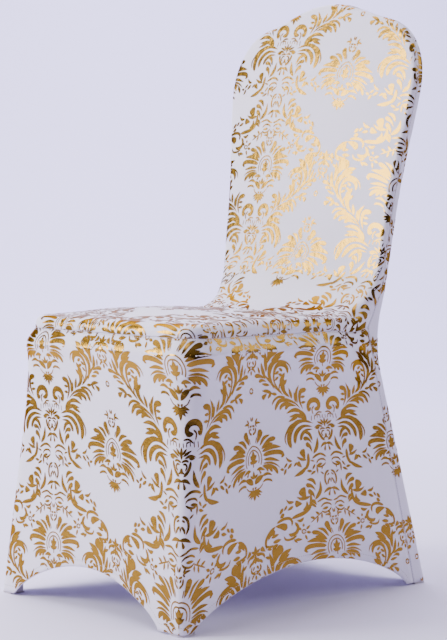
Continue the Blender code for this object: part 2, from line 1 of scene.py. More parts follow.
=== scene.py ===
"""Rendered model of a stretch spandex chair cover with a gold foil damask print.

The cover is three fitted cloth panels and four foot pockets. Each panel is a flat pattern with a map
onto its fitted surface, the same maps as in the CAD model. The foil print is drawn in the flat patterns
from a charted repeat, and the same map lays it on the cloth.
"""
import logging
import math
from dataclasses import dataclass
from enum import Enum
from typing import Callable, Iterable, Sequence

import bpy
import numpy as np
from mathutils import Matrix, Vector
from mathutils.geometry import delaunay_2d_cdt


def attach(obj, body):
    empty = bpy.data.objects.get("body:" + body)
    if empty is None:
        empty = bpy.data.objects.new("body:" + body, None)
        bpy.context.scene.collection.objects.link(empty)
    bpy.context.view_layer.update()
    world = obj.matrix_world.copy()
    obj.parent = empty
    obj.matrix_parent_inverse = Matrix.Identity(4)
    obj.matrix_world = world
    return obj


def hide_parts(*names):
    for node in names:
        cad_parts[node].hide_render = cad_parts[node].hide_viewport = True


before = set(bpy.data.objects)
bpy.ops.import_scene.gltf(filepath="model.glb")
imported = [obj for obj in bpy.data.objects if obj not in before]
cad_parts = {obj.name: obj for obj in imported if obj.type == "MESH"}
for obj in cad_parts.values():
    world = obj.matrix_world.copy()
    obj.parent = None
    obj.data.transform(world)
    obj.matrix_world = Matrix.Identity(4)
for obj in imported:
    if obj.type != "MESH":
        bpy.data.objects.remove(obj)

LOG = logging.getLogger("chair_cover")

Array = np.ndarray
Colour = tuple[float, float, float]

# Lengths are in metres, and in millimetres in the tables of the print's motifs. The cloth is worked out
# with x to the right, y to the rear and z up from the floor. The studio's places start at the held point.
HELD_POINT = (0.0, 0.2832, 0.9225)
CLOTH = 0.0009
FOIL_LIFT = 0.00025
SEAM_GAP = 0.00018
HEM_FOOT = 0.0029

# The seat, the lean of the backrest and the bridge of cloth between them.
SEAT_FRONT = -0.196
SEAT_HEIGHT = 0.430
SEAM_HEIGHT = 0.411
SEAT_RUN = 0.3158
BRIDGE_RADIUS = 0.085
BACK_LEAN = math.radians(9.0)
PAD_CORNER = 0.036
WAIST_RUN = 0.362

# Half width of the front panel's outer edge, by the distance along the panel from the front of the seat.
FRONT_EDGE = (
    # half width, distance
    (0.1930, PAD_CORNER), (0.1930, 0.110), (0.1930, 0.200), (0.1925, 0.270), (0.1850, 0.318),
    (0.1725, 0.362), (0.1775, 0.412), (0.1810, 0.475), (0.1850, 0.551), (0.1927, 0.620),
    (0.1995, 0.666), (0.2055, 0.722), (0.2035, 0.753), (0.1963, 0.777), (0.1835, 0.799),
    (0.1665, 0.817), (0.1430, 0.8295), (0.1080, 0.8395), (0.0770, 0.8505), (0.0420, 0.8615),
    (0.0000, 0.8660),
)

# How the front panel turns over its edge: a round, then a straight fall to the seam.
FRONT_TURN = (
    # distance along the panel, radius of the round, straight fall
    (0.000, 0.014, 0.005), (0.290, 0.014, 0.005), (0.330, 0.016, 0.009), (0.362, 0.018, 0.018),
    (0.385, 0.014, 0.008), (0.412, 0.009, 0.004), (0.450, 0.007, 0.001), (1.000, 0.007, 0.001),
)

# The skirt swells over the edge of the chair's frame just under the seam.
FRAME_EDGE = (
    # depth under the seam, swell
    (-0.050, 0.0000), (0.000, 0.0000), (0.006, 0.0035), (0.014, 0.0085), (0.022, 0.0115),
    (0.030, 0.0105), (0.045, 0.0070), (0.070, 0.0035), (0.120, 0.0010), (0.200, 0.0000),
    (0.500, 0.0000),
)

# The skirt's corners at the floor and at the seam, the rear legs, the rear face's side view, and the
# form of the arches.
FOOT_CORNERS = {"left": (0.2135, -0.2350), "right": (0.2075, -0.2287)}
SEAM_CORNER = (0.1930, SEAT_FRONT)
FOOT_CORNER_RADIUS = 0.012
WAIST_LINE = (0.1725, 0.1823)
REAR_FOOT_LINE = (0.1880, 0.2765)
REAR_FLOOR = 0.307
REAR_WAIST = (0.2065, 0.3725)
REAR_BEND = 0.150
REAR_ROUND = 0.008
ARCH_POWER = 0.67

# The hem's fold, the stitches, the steps of the cloth's mesh, and the limits of the print.
HEM_FOLD = 0.010
HEM_STEP = 0.002
HEM_EXTRA = 0.9
STITCH_PITCH = 0.0042
STITCH_SHARE = 0.68
STITCH_HALF = 0.00045
STITCH_TAPER = 0.22
STITCH_LIFT = 0.35
STITCH_FIRST = 0.002
STITCH_LAST = 0.004
STITCH_FACES = ((0, 2, 1), (0, 3, 2), (1, 2, 5, 4), (2, 3, 6, 5), (7, 4, 5), (7, 5, 6))
ROW_STEP = 0.001
EDGE_STEP = 0.005
GRID = 0.0045
CLEAR = 0.003
WIDE_CLEAR = 0.004
MAP_RIM = 0.01
PRINT_EDGE = 0.0006
SMALLEST_AREA = 2e-9

# Flat points closer than these count as one, in a mesh and in a test. A mesh fills only the inside of
# its outline.
JOINED = 1e-6
SAME = 1e-9
INSIDE_ONLY = 1

# The raster that finds the nearest stretch of a rail.
RASTER = 0.006
RASTER_RIM = 0.06
WINDOW = 6
BESIDE = 0.045


def column(table: Sequence[Sequence[float]], index: int) -> Array:
    """One column of a table as an array."""
    return np.array([row[index] for row in table])


def smooth(t: Array) -> Array:
    """A rise from 0 to 1 with level ends."""
    t = np.clip(t, 0.0, 1.0)
    return t * t * (3.0 - 2.0 * t)


def curve_through(points: Iterable[Sequence[float]], per_span: int) -> Array:
    """A smooth line through points.

    Args:
        points: Points that the line passes through.
        per_span: Steps between two of them.

    Returns:
        The line's points, the last one among them.
    """
    pts = np.array(list(points), float)
    ends = np.vstack([2 * pts[0] - pts[1], pts, 2 * pts[-1] - pts[-2]])
    t = np.linspace(0, 1, per_span, endpoint=False)[:, None]
    line = []
    for a, b, c, d in zip(ends[:-3], ends[1:-2], ends[2:-1], ends[3:]):
        line.append(0.5 * (2 * b + (c - a) * t + (2 * a - 5 * b + 4 * c - d) * t ** 2
                           + (3 * b - a - 3 * c + d) * t ** 3))
    line.append(pts[-1:])
    return np.vstack(line)


def way_along(line: Array) -> Array:
    """Distances of a line's points from its start."""
    return np.concatenate([[0], np.cumsum(np.linalg.norm(np.diff(line, axis=0), axis=1))])


def evenly(line: Array, step: float, keep: Iterable[int] = ()) -> Array:
    """Places about a step apart along a line.

    Args:
        line: Points of the line.
        step: Distance between two places.
        keep: Numbers of points that are among the places.

    Returns:
        Places counted in points of the line.
    """
    length = way_along(line)
    stops = sorted({0, len(line) - 1, *keep})
    places = []
    for first, last in zip(stops[:-1], stops[1:]):
        count = max(1, round((length[last] - length[first]) / step))
        places.extend(np.linspace(length[first], length[last], count, endpoint=False))
    places.append(length[-1])
    return np.interp(places, length, np.arange(len(line)))


@dataclass
class Rail:
    """A line in a flat pattern, with the cloth on its left and the outside on its right."""

    points: Array

    def __post_init__(self) -> None:
        """Works out the outward directions of the line's points."""
        steps = np.diff(self.points, axis=0)
        steps /= np.linalg.norm(steps, axis=1)[:, None]
        sides = np.column_stack([steps[:, 1], -steps[:, 0]])
        turned = np.vstack([sides[:1], sides[:-1] + sides[1:], sides[-1:]])
        self.outward = turned / np.linalg.norm(turned, axis=1)[:, None]
        self._chart()

    def at(self, place: Array, values: Array) -> Array:
        """Values of the line's points, read between the points.

        Args:
            place: Places counted in points of the line.
            values: One value or row for each point of the line.

        Returns:
            The values at the places.
        """
        values = np.asarray(values, float)
        number = np.arange(len(self.points))
        if values.ndim == 1:
            return np.interp(place, number, values)
        return np.column_stack([np.interp(place, number, values[:, k]) for k in range(values.shape[1])])

    def beside(self, place: Array, out: Array) -> Array:
        """Flat points that lie out from the line at places on it."""
        return self.at(place, self.points) + self.at(place, self.outward) * out[:, None]

    def _chart(self) -> None:
        """Notes the nearest stretch of the line for the cells of a coarse raster."""
        self.low = self.points.min(0) - RASTER_RIM
        size = np.ceil((self.points.max(0) + RASTER_RIM - self.low) / RASTER).astype(int) + 1
        self.cells = np.zeros(size, dtype=int)
        middle = (self.points[1:] + self.points[:-1]) / 2
        across = self.low[1] + (np.arange(size[1]) + 0.5) * RASTER
        for i in range(size[0]):
            spots = np.column_stack([np.full(size[1], self.low[0] + (i + 0.5) * RASTER), across])
            self.cells[i] = ((spots[:, None] - middle[None]) ** 2).sum(2).argmin(1)

    def nearest(self, flat: Array) -> tuple[Array, Array]:
        """The nearest places on the line.

        Args:
            flat: Flat points.

        Returns:
            The depth inside the line, and the nearest place on it.
        """
        cell = np.clip(((flat - self.low) / RASTER).astype(int), 0, np.array(self.cells.shape) - 1)
        known = self.cells[cell[:, 0], cell[:, 1]]
        last = len(self.points) - 2
        tried = np.clip(known[:, None] + np.arange(-WINDOW, WINDOW + 1)[None], 0, last)
        start = self.points[tried]
        step = self.points[tried + 1] - start
        gap = flat[:, None, :] - start
        along = np.clip((gap * step).sum(2) / (step * step).sum(2), 0.0, 1.0)
        off = gap - along[..., None] * step
        far = (off * off).sum(2)
        best = far.argmin(1)
        rows = np.arange(len(flat))
        place = tried[rows, best] + along[rows, best]
        close = far[rows, best] < BESIDE ** 2
        for _ in range(5):
            place = np.where(close, self._straightened(flat, place), place)
        gap = flat - self.at(place, self.points)
        side = self.at(place, self.outward)
        side /= np.linalg.norm(side, axis=1)[:, None]
        inside = -(gap * side).sum(1)
        return np.where(close, inside, np.sign(inside) * np.sqrt(far[rows, best])), place

    def _straightened(self, flat: Array, place: Array) -> Array:
        """One step towards the place from which a flat point lies straight to the side.

        Args:
            flat: Flat points.
            place: The places so far.

        Returns:
            Better places.
        """
        corner = np.clip(np.floor(place).astype(int), 0, len(self.points) - 2)
        step = self.points[corner + 1] - self.points[corner]
        turn = self.outward[corner + 1] - self.outward[corner]
        gap = flat - self.at(place, self.points)
        side = self.at(place, self.outward)
        off = gap[:, 1] * side[:, 0] - gap[:, 0] * side[:, 1]
        slope = (step[:, 0] * side[:, 1] - step[:, 1] * side[:, 0]
                 + gap[:, 1] * turn[:, 0] - gap[:, 0] * turn[:, 1])
        return np.clip(place - np.clip(off / slope, -1.0, 1.0), 0, len(self.points) - 1)


def rounded_turn(points: Sequence[Sequence[float]], radius: float, flat: Array) -> tuple[Array, Array]:
    """A side view's profile of two lines joined by an arc.

    Args:
        points: Start, corner and a point past the corner.
        radius: Radius of the arc.
        flat: Distances along the profile.

    Returns:
        Places and directions on the profile.
    """
    (y0, z0), (y1, z1), (y2, z2) = points
    into = np.array([y1 - y0, z1 - z0]) / math.hypot(y1 - y0, z1 - z0)
    out = np.array([y2 - y1, z2 - z1]) / math.hypot(y2 - y1, z2 - z1)
    bend = math.acos(float(np.clip(into @ out, -1, 1)))
    turn = math.copysign(1.0, into[0] * out[1] - into[1] * out[0])
    first = math.hypot(y1 - y0, z1 - z0) - radius * math.tan(bend / 2)
    angle = np.clip((flat - first) / radius, 0, bend)
    left = np.array([-into[1], into[0]])
    cos, sin = np.cos(angle)[:, None], np.sin(angle)[:, None]
    place = np.array([y0, z0]) + into * np.minimum(flat, first)[:, None]
    place = place + radius * (into * sin + turn * left * (1 - cos))
    run = into * cos + turn * left * sin
    return place + run * np.maximum(flat - first - radius * bend, 0)[:, None], run


def front_profile(run: Array) -> tuple[Array, Array]:
    """The side view of the seat top and the backrest.

    Args:
        run: Distances along it from the seat's front.

    Returns:
        Points of its middle line, and its outward directions.
    """
    meet = SEAT_RUN + BRIDGE_RADIUS * math.tan((math.pi / 2 - BACK_LEAN) / 2)
    corner = (SEAT_FRONT + meet, SEAT_HEIGHT)
    top = (corner[0] + math.sin(BACK_LEAN), corner[1] + math.cos(BACK_LEAN))
    place, tangent = rounded_turn(((SEAT_FRONT, SEAT_HEIGHT), corner, top), BRIDGE_RADIUS, run)
    return place, np.column_stack([-tangent[:, 1], tangent[:, 0]])


def rear_profile(run: Array) -> tuple[Array, Array]:
    """The side view of the rear face from the floor to the top.

    Args:
        run: Distances along it from the floor.

    Returns:
        Points of its middle line, and its outward directions.
    """
    top = (REAR_WAIST[0] + math.sin(BACK_LEAN), REAR_WAIST[1] + math.cos(BACK_LEAN))
    place, tangent = rounded_turn(((REAR_FLOOR, 0.0), REAR_WAIST, top), REAR_BEND, run)
    return place, np.column_stack([tangent[:, 1], -tangent[:, 0]])


def arch(share: Array, height: float) -> Array:
    """Rise of a hem's arch at a share of its width."""
    inside = (share > 0) & (share < 1)
    return np.where(inside, height * np.sin(np.pi * np.clip(share, 0, 1)) ** ARCH_POWER, 0.0)


def inside_outline(points: Array, outline: Array) -> Array:
    """Finds which flat points lie inside a closed outline.

    Args:
        points: Flat points.
        outline: The closed outline's corners.

    Returns:
        True for each point inside.
    """
    found = []
    ax, ay = outline[:, 0], outline[:, 1]
    bx, by = np.roll(ax, -1), np.roll(ay, -1)
    rise = np.where(by == ay, 1.0, by - ay)
    for part in np.array_split(points, max(1, len(points) // 4000)):
        x, y = part[:, 0, None], part[:, 1, None]
        crosses = (ay > y) != (by > y)
        found.append((crosses & (x < (bx - ax) * (y - ay) / rise + ax)).sum(1) % 2 == 1)
    return np.concatenate(found)


def grid_inside(outline: Array, step: float, wanted: Callable[[Array], Array]) -> Array:
    """A staggered grid of flat points inside an outline.

    Args:
        outline: Closed flat outline.
        step: Distance between two points.
        wanted: Says which points to keep.

    Returns:
        The grid's flat points.
    """
    low, high = outline.min(0), outline.max(0)
    rows = np.arange(low[1] + step / 2, high[1], step * math.sqrt(3) / 2)
    half = np.arange(math.floor(low[0] / step), math.ceil(high[0] / step) + 1) * step
    points = np.vstack([np.column_stack([half + (i % 2) * step / 2, np.full(len(half), y)])
                        for i, y in enumerate(rows)])
    points = points[inside_outline(points, outline)]
    return points[wanted(points)]


def surface_normals(place: Callable[[Array], Array], flat: Array) -> Array:
    """Outward directions of a fitted surface.

    Args:
        place: The surface's map from flat points.
        flat: Flat points.

    Returns:
        Unit directions at the flat points.
    """
    nudge = 0.0004
    ahead = place(flat + (nudge, 0)) - place(flat - (nudge, 0))
    above = place(flat + (0, nudge)) - place(flat - (0, nudge))
    normal = np.cross(ahead, above)
    return normal / np.linalg.norm(normal, axis=1)[:, None]


@dataclass
class Crease:
    """A soft ridge or trough along a line in a flat pattern."""

    start: tuple[float, float]
    end: tuple[float, float]
    height: float
    width: float
    bow: float = 0.0

    def lift(self, flat: Array) -> Array:
        """How far the crease lifts the cloth.

        Args:
            flat: Flat points.

        Returns:
            The lift at each point.
        """
        a, b = np.array(self.start), np.array(self.end)
        step = b - a
        length = float(np.linalg.norm(step))
        gap = flat - a
        along = (gap @ step) / length ** 2
        side = (gap[:, 1] * step[0] - gap[:, 0] * step[1]) / length
        t = np.clip(along, 0, 1)
        off = side - self.bow * 4 * t * (1 - t)
        past = np.maximum(np.abs(along - 0.5) - 0.5, 0) * length
        fade = smooth(1 - np.abs(2 * t - 1)) ** 0.5
        return self.height * fade * np.exp(-(off ** 2 + past ** 2) / (2 * self.width ** 2))


class Tip(Enum):
    """How a stroke of the print is drawn."""

    ROUND = "narrow at its start, with a broad round end"
    BLADE = "pointed at both ends"
    LINE = "nearly even"


@dataclass(frozen=True)
class Leaf:
    """One leaf, petal or line of the print, in millimetres of the flat repeat."""

    width: float
    tip: Tip
    points: tuple[tuple[float, float], ...]

    def outline(self) -> Array:
        """Draws the stroke round its middle line.

        Returns:
            The closed outline, anticlockwise.
        """
        spine = np.array(self.points, float)
        if len(spine) > 2:
            spine = curve_through(spine, 6)
        stops = way_along(spine)
        count = max(9, min(18, round(stops[-1] / 3)))
        bias = 0.72 if self.tip is Tip.ROUND else 1.0
        wanted = stops[-1] * np.linspace(0, 1, count) ** bias
        spine = np.column_stack([np.interp(wanted, stops, spine[:, k]) for k in range(2)])
        run = np.gradient(spine, axis=0)
        run /= np.linalg.norm(run, axis=1)[:, None]
        length = way_along(spine)
        t = length / length[-1]
        if self.tip is Tip.ROUND:
            wide = (0.30 + 0.70 * smooth(t / 0.8)) * np.minimum(1, t / 0.12) ** 0.5
            wide = wide * np.sqrt(np.clip(1 - ((t - 0.78) / 0.22).clip(0, 1) ** 2.2, 0, 1))
        elif self.tip is Tip.BLADE:
            wide = np.sin(np.pi * t ** 0.85) ** 0.8
        else:
            wide = (1 - np.abs(2 * t - 1) ** 5) ** 0.7
        across = np.column_stack([-run[:, 1], run[:, 0]]) * (wide * self.width)[:, None]
        loop = np.vstack([spine[:1], (spine - across)[1:-1], spine[-1:], (spine + across)[-2:0:-1]])
        return loop if signed_area(loop) > 0 else loop[::-1]


def signed_area(loop: Array) -> float:
    """Area of a closed outline, above zero if it runs anticlockwise."""
    x, y = loop[:, 0], loop[:, 1]
    return 0.5 * float((x * np.roll(y, -1) - np.roll(x, -1) * y).sum())


R, B, L = Tip.ROUND, Tip.BLADE, Tip.LINE

# The palmette's right half, from the middle of its bud.
PALMETTE = (
    # half width, tip, points
    (5.0, R, (8, 19), (13, 28), (18.5, 39)),
    (0.8, L, (5.5, 20), (8.5, 29)),
    (2.7, B, (14, 16), (23, 26.5), (36, 31)),
    (3.4, R, (17.5, 14), (32, 23), (47.5, 26)),
    (2.8, B, (17, 12), (29, 17.5), (42, 19)),
    (3.6, B, (18, 8), (37, 14), (58, 13)),
    (3.4, L, (19.5, 3), (38, 6), (55, 5.5), (61.5, 1.5), (56, -2)),
    (2.5, B, (20, -3), (37, -3), (54, -7)),
    (1.7, B, (19, -8), (35, -8), (47, -12), (54, -17)),
    (3.1, R, (17, -10.5), (33, -12), (44, -17.5), (48.5, -25)),
    (2.5, R, (19, -11.5), (31, -14.5), (38, -21)),
    (2.1, R, (17, -11.5), (26, -15), (29, -20)),
    (2.5, B, (6, -16.5), (14, -15), (23, -17.5)),
    (1.8, R, (10, -16), (15, -22)),
    (4.2, B, (1.5, -36), (8, -30), (20, -24)),
    (2.2, B, (16, -26), (27, -22.5), (37, -25.5)),
    (1.7, L, (17, -34), (24, -31), (33, -32), (36.5, -35)),
    (0.9, L, (5, -43), (12, -41), (18, -35)),
    (1.7, B, (0.6, -42), (5, -40)),
    (2.3, B, (-3, -45.5), (7, -45), (16, -48)),
    (2.1, B, (1, -46), (9, -54.5)),
    (1.8, B, (3, -46), (13, -51.5)),
    (3.0, B, (-1, -3), (7, 4.5)),
    (2.5, B, (-1, -7), (8.5, -3.5)),
    (1.8, B, (0.5, -28), (8.5, -22)),
)
PALMETTE_MIDDLE = (
    (4.4, B, (0, -9.5), (0, 10.5)),
    (1.0, L, (0, -13), (0, -8)),
    (2.6, B, (0, -29), (0, -17.5)),
    (3.4, B, (0, -44), (0, -59)),
)

# The small crown with its sprigs over each palmette, right half.
CROWN = (
    (1.5, L, (0.5, 32), (6, 35.5), (7.5, 42)),
    (1.7, B, (1, 33.5), (5, 33)),
    (1.4, L, (0.3, 44), (6, 44)),
    (1.5, B, (2, 38), (4.5, 42)),
    (1.7, B, (6, 46), (12, 48.5), (18.5, 48)),
    (1.6, B, (6.5, 48), (12, 55)),
    (1.4, B, (1, 50), (2.5, 57)),
    (1.2, B, (7, 46), (10, 43)),
)

# What hangs below a palmette in the lace column, right half: scrolls, vase, drooping leaves, flowers.
LACE = (
    (4.0, L, (21, -76), (12, -75), (9.5, -69), (16, -63), (27, -63.5), (33.5, -70), (33.5, -80)),
    (0.8, L, (3, -84), (3.5, -90)),
    (0.8, L, (9, -84.5), (8, -90)),
    (0.8, L, (14.5, -83), (14.5, -90)),
    (0.8, L, (20.5, -84), (21, -92)),
    (0.8, L, (27, -85), (28, -93.5)),
    (1.3, L, (20, -71), (25, -76), (23, -84)),
    (2.2, B, (28, -73), (32, -80)),
    (1.2, L, (3, -81), (12, -81), (20, -87)),
    (1.0, L, (8, -85), (14, -84)),
    (1.9, B, (2, -97.5), (9, -91)),
    (1.8, B, (3, -99.5), (9, -97), (17, -94.5)),
    (1.8, B, (5, -102), (15, -100.5), (24, -103.5)),
    (1.4, L, (0, -105.5), (7, -104.5), (12, -107)),
    (2.1, B, (12, -103), (22, -104.5)),
    (1.3, L, (2, -108.5), (6.5, -108.5), (9, -112.5), (5.5, -116.5)),
    (2.3, L, (15, -106), (13.5, -113), (9, -119), (3, -122.5)),
    (1.2, L, (0.5, -112), (1.6, -117), (5, -119.5)),
    (2.3, B, (-2, -127), (7, -127.5), (14.5, -133)),
    (2.1, R, (3, -128), (5.8, -138)),
    (4.9, R, (24, -97), (43, -92.5), (61, -95), (75, -106), (79.5, -119), (76, -131)),
    (3.9, R, (27, -101.5), (45, -100), (58, -105), (66, -114), (67.5, -125)),
    (3.0, R, (27, -105.5), (41, -106), (51, -112), (55.5, -121)),
    (1.5, L, (50, -92), (73, -98), (85, -110), (88, -119), (85, -126)),
    (3.4, B, (31, -141), (22, -131), (19, -117)),
    (2.9, B, (30, -122), (37, -111), (49, -109)),
    (3.1, R, (32, -126), (39, -119), (50, -118)),
    (3.7, R, (33, -139), (37, -130), (45.5, -125.5)),
    (1.8, L, (4, -147), (14, -142), (24, -143), (35, -148)),
    (1.4, L, (6, -154), (10, -150), (21, -150.5), (27, -156)),
    (1.4, L, (6, -155), (12, -159), (20, -161), (27, -158)),
    (2.1, B, (14, -156), (27, -159)),
    (2.0, B, (26, -159), (25.5, -171)),
    (1.8, B, (29, -156), (36, -164)),
    (1.4, B, (30, -152), (39, -150)),
    (2.1, B, (37, -166), (48, -165)),
    (1.9, B, (29, -166), (41, -171)),
    (1.4, B, (14, -160), (17, -165)),
    (6.1, R, (49, -148), (55.5, -133.5)),
    (2.9, L, (42, -139), (43, -153), (50, -163)),
    (3.1, B, (46, -158), (58, -166), (75, -171.5)),
    (2.3, B, (46, -149), (57, -147.5), (67, -143)),
    (4.1, R, (57, -159), (66, -151.5)),
    (1.9, B, (66, -151), (74, -157)),
    (2.1, B, (76, -149), (84, -147.5), (89, -142)),
    (2.2, B, (77, -152), (87, -160)),
    (1.9, B, (86, -151), (94, -158)),
    (2.3, B, (89, -159), (95, -168)),
    (2.1, B, (94, -160), (102, -159)),
    (1.9, L, (1, -167), (7, -169), (11.5, -175), (12, -183), (8.5, -189.5)),
    (1.5, L, (7.5, -188), (5, -182), (1, -178)),
    (1.2, L, (2, -171), (7, -174.5)),
    (1.5, B, (13, -172), (20, -168)),
    (2.3, B, (-2, -193.5), (8, -194.5), (17.5, -200)),
    (2.2, R, (3, -195), (6.8, -204.5)),
    (3.5, B, (36, -208), (24, -196), (22.5, -181)),
    (2.9, B, (32, -187), (38, -179), (50, -177.5)),
    (3.3, R, (33, -195), (41, -187.5), (53, -185)),
    (3.7, R, (36, -206), (40, -198.5), (49.5, -193.5)),
    (1.5, L, (0, -212), (9, -210.5), (18, -207.5), (33, -212)),
    (1.4, L, (3, -219.5), (8, -215.5), (18, -215), (26, -220)),
    (1.4, L, (4, -221), (9, -226), (18, -228), (25, -225)),
    (2.0, B, (10, -221), (23, -223)),
    (2.3, B, (34, -219), (42, -214), (51, -215)),
    (1.0, L, (22, -226), (33, -232), (48, -240.5)),
    (2.1, B, (29, -230), (37, -225)),
    (2.1, B, (38, -234.5), (48, -232)),
    (2.0, B, (32, -232.5), (35, -242)),
    (1.8, B, (24, -228), (25, -237)),
)
LACE_MIDDLE = (
    (2.4, B, (0, -103), (0, -88)),
    (1.6, L, (0, -112), (0, -119)),
    (1.5, B, (0, -179), (0, -185)),
)

# The garland that rises from the vase round the next diamond, right half.
RISING = (
    (3.8, R, (45, -76), (52, -63), (50.5, -50.5), (37, -46.5)),
    (2.1, B, (50, -58), (40, -57)),
    (2.1, B, (49, -66), (38.5, -65)),
    (2.9, B, (57, -67), (60, -53), (53, -40)),
    (2.4, B, (61, -65), (64.5, -50)),
    (3.0, B, (69, -60), (75.5, -44)),
    (5.3, R, (73, -58), (85, -50), (89, -38), (88.5, -27)),
    (2.9, B, (87, -40), (78.5, -32)),
    (3.0, B, (89, -31), (83.5, -22)),
    (2.3, B, (88, -27), (98, -24)),
    (3.5, R, (94, -50), (106, -35), (106, -20), (98, -11.5), (85, -11), (78, -17), (78, -24)),
    (1.6, L, (69, -21), (73, -12), (85, -6.5), (102, -7.5), (113, -18), (115, -33), (106, -46)),
    (2.3, B, (88, -20), (97, -16)),
    (2.3, B, (96, -20), (105, -25)),
    (2.1, B, (97, -28), (105, -34)),
    (1.4, L, (93, -36), (96, -46), (90, -52)),
    (3.2, R, (50, -75), (62, -66.5), (80, -61.5), (97, -63.5), (106, -76)),
    (3.0, R, (58, -71), (78, -66.5), (91, -69.5), (95.5, -76)),
    (2.9, R, (60, -70.5), (76, -69), (84.5, -75)),
    (1.9, L, (83, -57.5), (98, -57), (108, -62), (112, -69)),
    (5.6, B, (38, -93), (45, -86), (54, -76)),
    (3.0, B, (44, -82), (56, -77), (68, -76.5), (82, -81)),
    (3.0, B, (42, -90), (57, -84.5), (76, -86)),
    (2.4, B, (57, -87), (67, -89), (78, -93)),
    (3.1, R, (124, -31), (137, -27), (148, -27.5)),
    (2.6, R, (122, -35), (131, -33), (139, -35)),
    (2.2, B, (116, -40), (133, -38)),
    (1.7, L, (88, -54), (104, -43), (119, -32), (133, -21.5)),
    (3.4, B, (125, -31), (131, -19), (134, -8)),
    (3.8, B, (124, -22), (124.5, -8), (129.5, 7)),
    (2.0, B, (137, -24), (141, -14)),
    (3.4, B, (106, -44), (116, -29), (115.5, -14), (101, -3)),
    (6.7, R, (121, -10), (115, 3), (104, 14)),
    (5.7, R, (121, -6), (119.5, 4), (118, 13)),
    (4.1, B, (113, -7), (100, 2), (87, 8)),
    (2.4, B, (108, -8), (91, 1)),
    (2.1, B, (98, -5), (111, -11)),
    (2.2, B, (121, 17), (128, 14.5), (138, 18)),
    (1.6, B, (124, 11), (134, 12)),
    (2.3, B, (101, -53), (114, -52)),
    (2.7, B, (111, -52), (122, -48.5), (133, -48)),
    (2.4, B, (113, -51), (121, -59)),
    (3.5, R, (122, -51.5), (133, -59)),
)

# The garland that falls from the feathers to the foot of the diamond, right half.
FALLING = (
    (7.8, R, (54, -205), (63, -189)),
    (2.7, B, (45, -202), (56, -204), (66, -203.5), (73, -200)),
    (3.0, L, (44, -196), (44, -208), (48, -218), (58, -224), (70, -227), (85, -230)),
    (2.8, B, (53, -208), (53, -216), (62, -221)),
    (2.7, B, (45, -209), (38, -210), (33.5, -216)),
    (4.9, R, (62, -211), (77, -210)),
    (2.3, B, (80, -213), (92, -218)),
    (2.3, B, (78, -207), (88, -207), (94, -202)),
    (2.1, B, (92, -211), (99, -218)),
    (2.7, B, (100, -214), (108, -222)),
    (2.9, B, (98, -222), (107, -227)),
    (2.3, L, (114, -234), (101, -229.5), (89, -229.5), (84, -234), (85, -241)),
    (5.4, R, (117, -238), (104, -239), (93, -242.5)),
    (2.9, L, (79, -236), (73, -243), (76, -250.5), (86, -253.5), (92, -251)),
    (1.7, L, (75, -255), (86, -259), (97, -259), (101, -253)),
    (2.4, B, (60, -231), (67, -235), (75, -234)),
    (2.4, B, (62, -244.5), (62, -239.5)),
    (2.1, B, (57.5, -248.5), (49, -243.5)),
    (2.1, B, (57, -252.5), (48, -254)),
    (2.1, B, (60, -256), (56, -264)),
    (2.1, B, (66.5, -248.5), (74, -243.5)),
    (2.3, B, (79, -261), (66, -262)),
    (2.0, B, (82, -260), (75, -266)),
    (1.6, B, (79, -258), (82, -252)),
    (2.2, L, (134, -268), (135, -256), (127, -245), (116, -238)),
    (4.3, R, (131, -256), (126, -248), (117, -244)),
    (2.4, B, (125, -253), (110, -249)),
    (2.8, B, (122, -260), (106, -257)),
    (3.0, B, (124, -268), (112, -263)),
    (3.7, R, (136, -270), (145, -264)),
    (2.3, B, (127, -281), (137, -278)),
)

# The pineapple at the top of the diamond, right half, from its middle.
PINEAPPLE = (
    (1.9, B, (1, 10), (9, 15.5)),
    (1.7, B, (1, 8), (12, 9.5)),
    (2.1, L, (2, 6), (10, 8), (15.5, 6), (16.5, 1.5)),
    (2.2, L, (2, -1), (9, -1), (13.5, -4.5)),
    (2.0, B, (3, 4), (8, -3)),
    (1.5, L, (8, -5), (9.5, -11), (5, -15.5), (0, -14)),
    (1.9, B, (2, -7), (6, -12)),
    (1.6, L, (0, -17.5), (5, -18.5), (9, -22.5)),
)
PINEAPPLE_MIDDLE = (
    (3.4, B, (0, 6), (0, 20)),
    (3.0, B, (0, -5), (0, 9)),
    (2.1, B, (0, -20), (0, -27)),
)


class Kind(Enum):
    """The two columns of the repeat."""

    LACE = "lace"
    DIAMOND = "diamond"


def arc_band(middle: tuple[float, float], radius: float, width: float, first: float, last: float,
             squeeze: float = 1.0) -> Array:
    """A band along an arc.

    Args:
        middle: Middle of the arc.
        radius: Radius of the band's middle line.
        width: Width of the band.
        first: First angle in degrees.
        last: Last angle in degrees.
        squeeze: Height of the arc by its width.

    Returns:
        Closed outline of the band, anticlockwise.
    """
    angle = np.radians(np.linspace(first, last, 21))
    ray = np.column_stack([np.cos(angle), np.sin(angle) * squeeze])
    return np.array(middle) + np.vstack([ray * (radius + width / 2), ray[::-1] * (radius - width / 2)])


def raised(rows: Iterable[tuple], rise: float) -> list[tuple]:
    """Rows of a motif, moved up."""
    return [(width, tip, *((x, y + rise) for x, y in points)) for width, tip, *points in rows]


